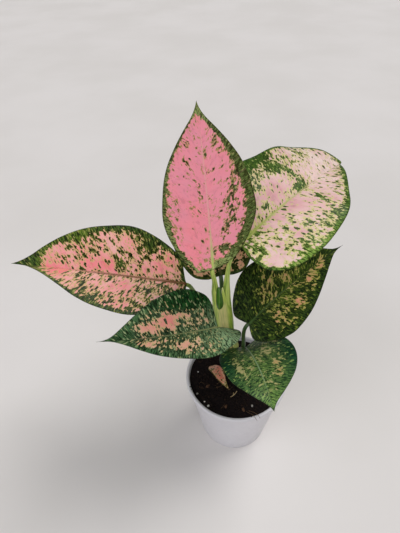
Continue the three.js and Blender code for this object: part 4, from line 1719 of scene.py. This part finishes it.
def leaves() -> list[Leaf]:
    """The eight leaves, each with its shape, its petiole, its pattern and its colours.

    Returns:
        The leaves.
    """
    return [
        Leaf(
            "centre_leaf",
            BladeShape(
                base=(-27, -15, 279.5), heading=98, pitch=68, roll=4, length=134, left=38.5, right=40, bend=4, fold=8,
                curl=0.05, lobes=(0, -0.04), sweep=2, twist=2, widest=0.37, shoulders=(0.67, 0.55), points=(1.0, 1.12),
                drip=0.015,
            ),
            PetioleShape(bearing=190, node=158, pair=Pair.LEFT, via=((-25.4, -8, 261),)),
            LeafPattern(
                bloom=0.82, blush=0.6, margins=(0.8, 5.2), fades=(5.5, 7.0), narrows=0.5, tip=0.955, rib=(1.1, 0.95),
                patches=(
                    Patch(0.04, 0.3, 0.06, 0.5, -0.18, glow=0.9), Patch(0.04, -0.3, 0.05, 0.4, -0.14, glow=0.8),
                    Patch(0.75, -0.55, 0.05, 0.14, -0.5), Patch(0.68, -0.68, 0.06, 0.12, -0.35),
                    Patch(0.42, -0.42, 0.05, 0.1, -0.4), Patch(0.33, -0.5, 0.05, 0.1, -0.45),
                    Patch(0.52, -0.58, 0.07, 0.12, -0.4), Patch(0.28, -0.35, 0.04, 0.08, -0.35),
                    Patch(0.14, -0.35, 0.025, 0.3, -0.5), Patch(0.45, -0.1, 0.03, 0.06, -0.35),
                    Patch(0.65, 0.35, 0.05, 0.06, -0.3), Patch(0.43, 0.32, 0.05, 0.09, -0.3),
                    Patch(0.53, 0.15, 0.03, 0.06, -0.35), Patch(0.8, -0.25, 0.05, 0.08, -0.3),
                    Patch(0.74, -0.05, 0.03, 0.06, -0.3), Patch(0.78, 0.4, 0.03, 0.1, -0.25),
                    Patch(0.25, 0.85, 0.2, 0.14, -0.4, glow=0.4), Patch(0.55, 0.75, 0.25, 0.12, -0.12, glow=0.2),
                    Patch(0.3, 0.4, 0.16, 0.22, 0.16, blush=0.3), Patch(0.15, 0.4, 0.08, 0.2, 0.1, blush=0.3),
                    Patch(0.6, -0.2, 0.12, 0.18, 0.14), Patch(0.62, 0.55, 0.12, 0.15, 0.1, blush=0.1),
                    Patch(0.85, 0.1, 0.06, 0.3, blush=-0.1), Patch(0.35, -0.35, 0.3, 0.3, -0.06, blush=-0.15),
                    Patch(0.9, 0.0, 0.06, 0.5, -0.08), Patch(0.97, 0.0, 0.06, 1.2, glow=1.0),
                ),
            ),
            LeafFinish(
                hot=srgb(248, 146, 158), pale=srgb(234, 152, 172), cream=srgb(178, 146, 92), green=srgb(58, 80, 24),
                dark=srgb(36, 22, 8), bright=srgb(150, 166, 100), rib=srgb(236, 170, 166), rib_foot=srgb(188, 196, 124),
                fleck=2.2, stretch=1.15, halo=0.13, feather=0.7, specks=0.12, dashes=0.32, seed=3.0,
            ),
            "leaf_hot_pink",
        ),
        Leaf(
            "upper_right_leaf",
            BladeShape(
                base=(-3, 6, 290), heading=37, pitch=23, roll=25, length=169, left=61, right=54.5, bend=40, fold=12,
                curl=0.2, lobes=(0.05, 0.02), sweep=-2, twist=-12, widest=0.33, shoulders=(1.02, 1.08),
                points=(0.4, 1.25), wave=(1.6, 3.2, 1.0),
            ),
            PetioleShape(bearing=342, node=148, pair=Pair.RIGHT, via=((-13.6, 0.5, 259), (-11, 3, 275)), neck=1.7),
            LeafPattern(
                bloom=0.7, blush=0.55, margins=(0.8, 0.8), fades=(4.0, 6.0), tip=0.985, rib=(1.5, 0.62),
                patches=(
                    Patch(0.44, 0.96, 0.16, 0.26, -0.55, glow=-0.15), Patch(0.28, 1.0, 0.12, 0.36, -0.6),
                    Patch(0.5, 0.55, 0.05, 0.16, -0.48), Patch(0.55, 0.26, 0.022, 0.22, -0.6),
                    Patch(0.5, 0.06, 0.04, 0.07, -0.65), Patch(0.63, 0.45, 0.05, 0.14, -0.3),
                    Patch(0.75, 0.6, 0.05, 0.14, -0.25), Patch(0.38, 0.3, 0.12, 0.16, 0.25, blush=0.1),
                    Patch(0.3, 0.45, 0.04, 0.08, -0.4), Patch(0.25, 0.14, 0.04, 0.06, -0.35),
                    Patch(0.53, -0.32, 0.024, 0.24, -0.48), Patch(0.48, -0.72, 0.05, 0.12, -0.2),
                    Patch(0.34, -0.55, 0.035, 0.08, -0.3), Patch(0.17, -0.65, 0.04, 0.08, -0.22),
                    Patch(0.16, -0.35, 0.013, 0.16, -0.34), Patch(0.05, -0.34, 0.013, 0.14, -0.26),
                    Patch(0.22, -0.34, 0.014, 0.14, -0.28), Patch(0.29, -0.36, 0.016, 0.1, -0.36),
                    Patch(0.27, -0.76, 0.03, 0.1, -0.1), Patch(0.42, -0.2, 0.08, 0.14, 0.3),
                    Patch(0.62, -0.18, 0.08, 0.1, 0.3), Patch(0.85, 0.7, 0.12, 0.25, -0.14),
                    Patch(0.22, -0.15, 0.07, 0.1, 0.2), Patch(0.12, -0.55, 0.06, 0.16, 0.12),
                    Patch(0.2, -0.9, 0.28, 0.15, -0.18, glow=0.65), Patch(0.62, -0.8, 0.2, 0.2, -0.2),
                    Patch(0.06, 0.3, 0.08, 0.6, -0.2, glow=0.6), Patch(0.8, 0.2, 0.2, 0.5, 0.14, blush=-0.45),
                    Patch(0.86, -0.5, 0.12, 0.3, -0.45), Patch(0.75, 0.2, 0.1, 0.2, 0.1),
                    Patch(0.35, 0.3, 0.2, 0.4, blush=0.2),
                ),
            ),
            LeafFinish(
                hot=srgb(218, 158, 164), pale=srgb(244, 218, 210), cream=srgb(208, 202, 132), green=srgb(50, 88, 18),
                dark=srgb(24, 42, 6), bright=srgb(138, 170, 76), rib=srgb(176, 182, 104), rib_foot=srgb(168, 180, 84),
                fleck=2.0, stretch=1.9, halo=0.18, feather=0.7, specks=0.34, dashes=0.55, seed=17.0, vein_spacing=13.0,
            ),
            "leaf_pale_pink",
        ),
        Leaf(
            "left_leaf",
            BladeShape(
                base=(-51.5, 9.5, 240), heading=188, pitch=20, roll=-29, length=153, left=39.5, right=47, bend=0,
                fold=15, curl=0.03, lobes=(-0.02, -0.04), sweep=2, twist=0, widest=0.38, shoulders=(0.67, 0.67),
                points=(1.75, 0.95), drip=0.02,
            ),
            PetioleShape(bearing=134, node=128, leaves=150, via=((-34, 17, 196), (-46, 15, 226))),
            LeafPattern(
                bloom=0.56, blush=0.32, margins=(1.0, 1.6), fades=(4.5, 6.5), narrows=0.2, tip=0.88, rib=(1.2, 0.75),
                patches=(
                    Patch(0.78, -0.02, 0.09, 0.24, 0.3, blush=0.5), Patch(0.5, -0.22, 0.07, 0.16, 0.3, blush=0.35),
                    Patch(0.62, -0.1, 0.06, 0.16, 0.25, blush=0.2), Patch(0.4, 0.25, 0.07, 0.16, 0.25, blush=0.35),
                    Patch(0.44, -0.6, 0.09, 0.16, 0.22), Patch(0.2, -0.25, 0.09, 0.22, 0.3, blush=0.25),
                    Patch(0.42, -0.22, 0.03, 0.12, -0.45), Patch(0.64, -0.05, 0.02, 0.05, -0.5),
                    Patch(0.25, -0.7, 0.1, 0.24, -0.3), Patch(0.72, -0.8, 0.1, 0.26, -0.35, glow=0.6),
                    Patch(0.58, 0.62, 0.06, 0.12, -0.35), Patch(0.3, 0.35, 0.05, 0.12, -0.16),
                    Patch(0.27, 0.75, 0.08, 0.12, -0.14), Patch(0.84, 0.0, 0.05, 0.7, glow=0.6),
                    Patch(0.2, 0.5, 0.12, 0.3, -0.04, blush=-0.2, glow=0.3),
                ),
            ),
            LeafFinish(
                hot=srgb(246, 110, 126), pale=srgb(240, 182, 176), cream=srgb(210, 180, 124), green=srgb(30, 64, 36),
                dark=srgb(8, 6, 2), bright=srgb(120, 144, 52), rib=srgb(128, 80, 62), rib_foot=srgb(120, 84, 56),
                fleck=2.0, stretch=1.8, halo=0.14, feather=0.85, specks=0.65, dashes=0.5, seed=29.0,
            ),
            "leaf_speckled_pink",
        ),
        Leaf(
            "lower_left_leaf",
            BladeShape(
                base=(-22.5, -18, 207.5), heading=210, pitch=19, roll=-21, length=117, left=36.5, right=41, bend=-2,
                fold=29, curl=0.03, lobes=(0.15, -0.02), sweep=-9, twist=-1, widest=0.29, shoulders=(1.05, 0.92),
                points=(1.6, 1.25), drip=0.035,
            ),
            PetioleShape(bearing=243, node=118, leaves=158, via=((-18, -13.5, 192),)),
            LeafPattern(
                bloom=0.31, blush=0.25, margins=(1.5, 1.5), fades=(6.0, 6.0), tip=0.8, rib=(1.0, 0.7),
                patches=(
                    Patch(0.48, -0.3, 0.1, 0.18, 0.52, blush=0.55), Patch(0.66, -0.2, 0.07, 0.12, 0.46, blush=0.5),
                    Patch(0.67, 0.2, 0.1, 0.16, 0.3, blush=0.3), Patch(0.38, 0.42, 0.09, 0.14, 0.48, blush=0.55),
                    Patch(0.18, -0.2, 0.09, 0.12, 0.25, blush=-0.4), Patch(0.32, -0.42, 0.09, 0.1, 0.3, blush=0.3),
                    Patch(0.28, 0.45, 0.14, 0.2, 0.1, blush=-0.5), Patch(0.45, 0.8, 0.2, 0.16, glow=0.1),
                    # the glow patch at the foot of the left half is painted sheen: the base lobe's reflection of the
                    # light above
                    Patch(0.25, -0.75, 0.3, 0.24, -0.2, glow=-0.35), Patch(0.0, 0.55, 0.14, 0.6, -0.3, glow=0.9),
                    Patch(0.6, 0.3, 0.4, 0.9, glow=-0.14),
                ),
            ),
            LeafFinish(
                # bright is greyed to carry the painted sheen on the base lobe; it also colours the light dashes
                hot=srgb(226, 140, 132), pale=srgb(216, 178, 150), cream=srgb(190, 178, 120), green=srgb(34, 86, 38),
                dark=srgb(6, 18, 6), bright=srgb(146, 176, 132), rib=srgb(104, 118, 76), rib_foot=srgb(150, 154, 104),
                fleck=2.1, stretch=1.8, halo=0.11, feather=0.9, specks=0.3, dashes=0.4, seed=41.0, vein_spacing=9.0,
            ),
            "leaf_mid_green",
        ),
        Leaf(
            "right_leaf",
            BladeShape(
                base=(10, -2.5, 192.5), heading=41, pitch=18, roll=33, length=135, left=44, right=39.5, bend=0, fold=4,
                curl=0.05, lobes=(0.04, 0.06), sweep=-12, twist=14, widest=0.28, shoulders=(0.87, 0.95),
                points=(1.26, 1.4), drip=0.04,
            ),
            PetioleShape(bearing=30, node=110, leaves=122, via=((6.5, 2, 152), (5.5, 1, 172))),
            LeafPattern(
                bloom=0.34, blush=0.25, margins=(2.5, 2.5), fades=(8.0, 8.0), tip=0.92, rib=(0.9, 0.6),
                patches=(
                    Patch(0.42, -0.48, 0.06, 0.12, 0.32, blush=0.5), Patch(0.22, -0.35, 0.05, 0.08, 0.32, blush=0.5),
                    Patch(0.17, -0.5, 0.05, 0.08, 0.32, blush=0.4), Patch(0.6, -0.2, 0.06, 0.1, 0.25, blush=0.5),
                    Patch(0.75, -0.1, 0.06, 0.12, 0.25, blush=0.3), Patch(0.45, 0.25, 0.06, 0.12, 0.25, blush=0.3),
                    Patch(0.3, 0.35, 0.06, 0.12, 0.25), Patch(0.2, 0.4, 0.05, 0.1, 0.25),
                    Patch(0.25, 0.15, 0.05, 0.1, 0.25), Patch(0.35, -0.1, 0.1, 0.16, glow=0.35),
                    Patch(0.55, 0.1, 0.12, 0.2, glow=0.25), Patch(0.05, 0.0, 0.1, 0.8, -0.2),
                    Patch(0.15, 0.75, 0.2, 0.3, -0.3),
                ),
            ),
            LeafFinish(
                hot=srgb(214, 146, 118), pale=srgb(164, 148, 92), cream=srgb(150, 156, 70), green=srgb(16, 42, 20),
                dark=srgb(3, 11, 6), bright=srgb(98, 122, 40), rib=srgb(60, 84, 48), rib_foot=srgb(70, 96, 50),
                fleck=2.3, stretch=1.6, halo=0.11, feather=0.9, specks=0.4, dashes=0.24, seed=53.0,
            ),
            "leaf_dark_green",
        ),
        Leaf(
            "lower_right_leaf",
            BladeShape(
                base=(8, -7, 160), heading=-76, pitch=33, roll=2, length=86, left=41.5, right=35.5, bend=45, fold=11,
                curl=0.03, lobes=(0.08, 0.01), sweep=-8, twist=5, widest=0.35, shoulders=(1.08, 1), points=(1.05, 1.02),
                drip=0.02,
            ),
            PetioleShape(bearing=290, node=102, leaves=124, via=((2.5, -7.5, 144),)),
            LeafPattern(
                bloom=0.3, blush=0.0, margins=(3.0, 3.0), fades=(7.0, 7.0), tip=0.9, rib=(1.1, 0.9),
                patches=(
                    Patch(0.25, 0.35, 0.09, 0.12, 0.33, blush=-0.4), Patch(0.22, 0.85, 0.05, 0.06, 0.3, blush=-0.4),
                    Patch(0.33, -0.55, 0.1, 0.12, 0.36, blush=-0.4), Patch(0.5, 0.4, 0.05, 0.1, 0.36, blush=0.6),
                    Patch(0.62, 0.4, 0.05, 0.08, 0.5, blush=0.9), Patch(0.47, -0.5, 0.06, 0.1, 0.36, blush=0.1),
                    Patch(0.4, -0.1, 0.05, 0.05, 0.3, blush=-0.4), Patch(0.45, 0.0, 0.3, 0.4, glow=0.22),
                    Patch(0.9, 0.0, 0.12, 0.6, glow=0.35), Patch(0.3, -0.85, 0.3, 0.3, -0.2, glow=-0.3),
                    Patch(0.45, 0.9, 0.3, 0.25, -0.05, glow=-0.3),
                ),
            ),
            LeafFinish(
                hot=srgb(204, 148, 98), pale=srgb(176, 166, 116), cream=srgb(142, 152, 90), green=srgb(30, 76, 46),
                dark=srgb(8, 30, 22), bright=srgb(136, 172, 88), rib=srgb(134, 160, 120), rib_foot=srgb(132, 150, 116),
                fleck=2.0, stretch=1.7, halo=0.12, feather=0.85, specks=0.4, dashes=0.3, seed=67.0, vein_spacing=7.5,
            ),
            "leaf_mid_green",
            rows=110,
        ),
        Leaf(
            "back_leaf",
            BladeShape(
                base=(-18, 19, 241), heading=100, pitch=33, roll=-2, length=134, left=42, right=39.5, bend=25,
                fold=9.5, curl=0.05, lobes=(0.02, 0.01), sweep=0, twist=0, widest=0.35, shoulders=(1.03, 1),
                points=(1, 1),
            ),
            PetioleShape(bearing=86, node=138, leaves=194, via=((-17, 12, 222),)),
            LeafPattern(
                bloom=0.4, blush=0.4, margins=(2.0, 2.0), tip=0.9, rib=(1.0, 0.7),
                patches=(
                    Patch(0.06, 0.5, 0.06, 0.4, 0.3, blush=0.3), Patch(0.1, -0.6, 0.08, 0.15, 0.12, blush=0.4),
                    Patch(0.5, 0.2, 0.15, 0.3, 0.2),
                ),
            ),
            LeafFinish(
                # hot and pale are lightened as painted light, offsetting the shade that the leaves above cast on this
                # leaf
                hot=srgb(232, 168, 140), pale=srgb(222, 184, 144), cream=srgb(190, 172, 112), green=srgb(60, 80, 30),
                dark=srgb(24, 32, 14), bright=srgb(76, 98, 38), rib=srgb(80, 84, 50), rib_foot=srgb(84, 88, 50),
                fleck=2.2, halo=0.06, seed=79.0,
            ),
            "leaf_dark_green",
        ),
        Leaf(
            "basal_leaf",
            BladeShape(
                base=(-27.8, 10.2, 102.3), heading=-55, pitch=60, roll=-13, length=49, left=4.5, right=10.3, bend=93,
                fold=6, curl=0.03, lobes=(0, 0), sweep=-3, twist=0, widest=0.35, shoulders=(0.3, 0.4),
                points=(2.6, 0.7), wave=(0.3, 2.0, 0.0),
            ),
            PetioleShape(bearing=165, node=97.5, leaves=101, via=((-19, 8, 99.5),), sheath=2.2, neck=1.2, abrupt=True),
            LeafPattern(
                bloom=0.84, blush=0.55, margins=(0.1, 0.3), fades=(1.0, 1.5), tip=0.97, rib=(0.6, 0.5),
                patches=(
                    Patch(0.1, 0.0, 0.12, 0.9, 0.2, blush=-0.8), Patch(0.6, 0.4, 0.06, 0.2, -0.4),
                    Patch(0.88, 0.0, 0.1, 0.9, -0.6, glow=0.8), Patch(0.4, -0.7, 0.2, 0.2, -0.3, glow=0.5),
                ),
            ),
            LeafFinish(
                hot=srgb(228, 112, 98), pale=srgb(238, 180, 152), cream=srgb(238, 206, 166), green=srgb(112, 92, 48),
                dark=srgb(64, 22, 16), bright=srgb(158, 156, 84), rib=srgb(222, 160, 132), rib_foot=srgb(236, 200, 176),
                fleck=1.5, stretch=1.2, halo=0.14, specks=0.3, seed=95.0, vein_spacing=4.0,
            ),
            "leaf_salmon",
            rows=80, columns=14,
        ),
    ]


def stem_finishes() -> dict[str, StemFinish]:
    """The finish of each petiole, by its leaf's name.

    Returns:
        The finishes.
    """
    light = StemFinish(
        light=srgb(196, 212, 108), deep=srgb(106, 144, 46), lip=srgb(214, 218, 160), old=srgb(206, 184, 128)
    )
    sheath = StemFinish(
        light=srgb(204, 216, 104), deep=srgb(122, 158, 50), lip=srgb(224, 226, 164), old=srgb(222, 208, 146)
    )
    middle = StemFinish(
        light=srgb(150, 172, 88), deep=srgb(96, 128, 54), lip=srgb(222, 200, 158), old=srgb(206, 170, 126)
    )
    # deep is a darker copy of the petiole finish: partly the dark leaves' own greener petioles, partly painted shade
    # where these petioles stand in shade
    deep = StemFinish(light=srgb(72, 100, 50), deep=srgb(30, 56, 30), lip=srgb(150, 156, 112), old=srgb(130, 104, 74))
    salmon = StemFinish(
        light=srgb(200, 128, 96), deep=srgb(150, 104, 70), lip=srgb(222, 180, 140), old=srgb(190, 140, 100)
    )
    return {
        "sheath": sheath, "centre_leaf": light, "upper_right_leaf": light, "back_leaf": deep, "left_leaf": middle,
        "lower_left_leaf": middle, "right_leaf": deep, "lower_right_leaf": deep, "basal_leaf": salmon,
    }


def build_plant(effects: Effects) -> None:
    """Builds the stems and the leaves.

    Args:
        effects: The shared shader groups.
    """
    bundle = Bundle()
    cane_finish = StemFinish(
        light=srgb(168, 166, 98), deep=srgb(120, 122, 66), lip=srgb(196, 178, 132), old=srgb(176, 142, 98)
    )
    # the rolled leaf's dark greens are partly its own colour and partly painted shade of the sheath's opening
    spear_shade_finish = StemFinish(
        light=srgb(66, 114, 30), deep=srgb(32, 72, 18), lip=srgb(112, 146, 62), old=srgb(90, 110, 60)
    )
    grown = leaves()
    cane = Cane(bundle, tuple(leaf.stalk.node - 1.0 for leaf in grown))
    report(cane.build(cane_finish.material("stem_cane", effects)))
    report(RolledLeaf(bundle).build(spear_shade_finish.material("rolled_leaf", effects)))
    finishes = stem_finishes()
    report(StemSheath(bundle).build(finishes["sheath"].material("stem_sheath", effects)))
    for leaf in grown:
        report(leaf.build_petiole(bundle, finishes[leaf.name].material(f"{leaf.name}_petiole", effects)))
        report(leaf.build_blade(effects))


def build_pot(effects: Effects) -> None:
    """Builds the pot, the soil and what lies on it.

    Args:
        effects: The shared shader groups.
    """
    pot = Pot()
    soil = Soil(pot)
    plastic = PlasticFinish(white=srgb(211, 209, 214), shade=srgb(198, 195, 200))
    report(pot.build(plastic.material("pot_plastic", effects)))
    mix = GrainyFinish(light=srgb(30, 21, 20), dark=srgb(8, 5, 6), scale=420.0, roughness=0.92, depth=0.0005)
    crumb = GrainyFinish(light=srgb(46, 32, 26), dark=srgb(12, 8, 7), scale=300.0, roughness=0.9, depth=0.0003)
    report(soil.build_bed(mix.material("potting_mix", effects)))
    report(soil.build_crumbs(crumb.material("mix_crumbs", effects)))
    perlite = GrainyFinish(light=srgb(226, 223, 218), dark=srgb(104, 96, 88), scale=75.0, roughness=0.85, depth=0.0002)
    bark = GrainyFinish(light=srgb(112, 82, 60), dark=srgb(52, 36, 26), scale=500.0, roughness=0.88, depth=0.0003)
    root = GrainyFinish(light=srgb(124, 98, 70), dark=srgb(60, 44, 32), scale=600.0, roughness=0.8, depth=0.0002)
    wood = GrainyFinish(light=srgb(206, 184, 144), dark=srgb(150, 124, 88), scale=600.0, roughness=0.8, depth=0.0002)
    report(soil.build_perlite(perlite.material("perlite", effects)))
    report(soil.build_bark(bark.material("bark", effects)))
    report(soil.build_twig(wood.material("dry_wood", effects)))
    report(soil.build_roots(root.material("dry_root", effects)))


def report(piece: bpy.types.Object) -> None:
    """Logs a finished piece."""
    LOG.info("%s: %d faces", piece.name, len(piece.data.polygons))


def main() -> None:
    """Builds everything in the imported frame."""
    logging.basicConfig(level=logging.INFO, format="%(name)s: %(message)s")
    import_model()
    effects = Effects()
    Studio().build()
    build_pot(effects)
    build_plant(effects)
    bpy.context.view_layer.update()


if __name__ == "__main__":
    main()
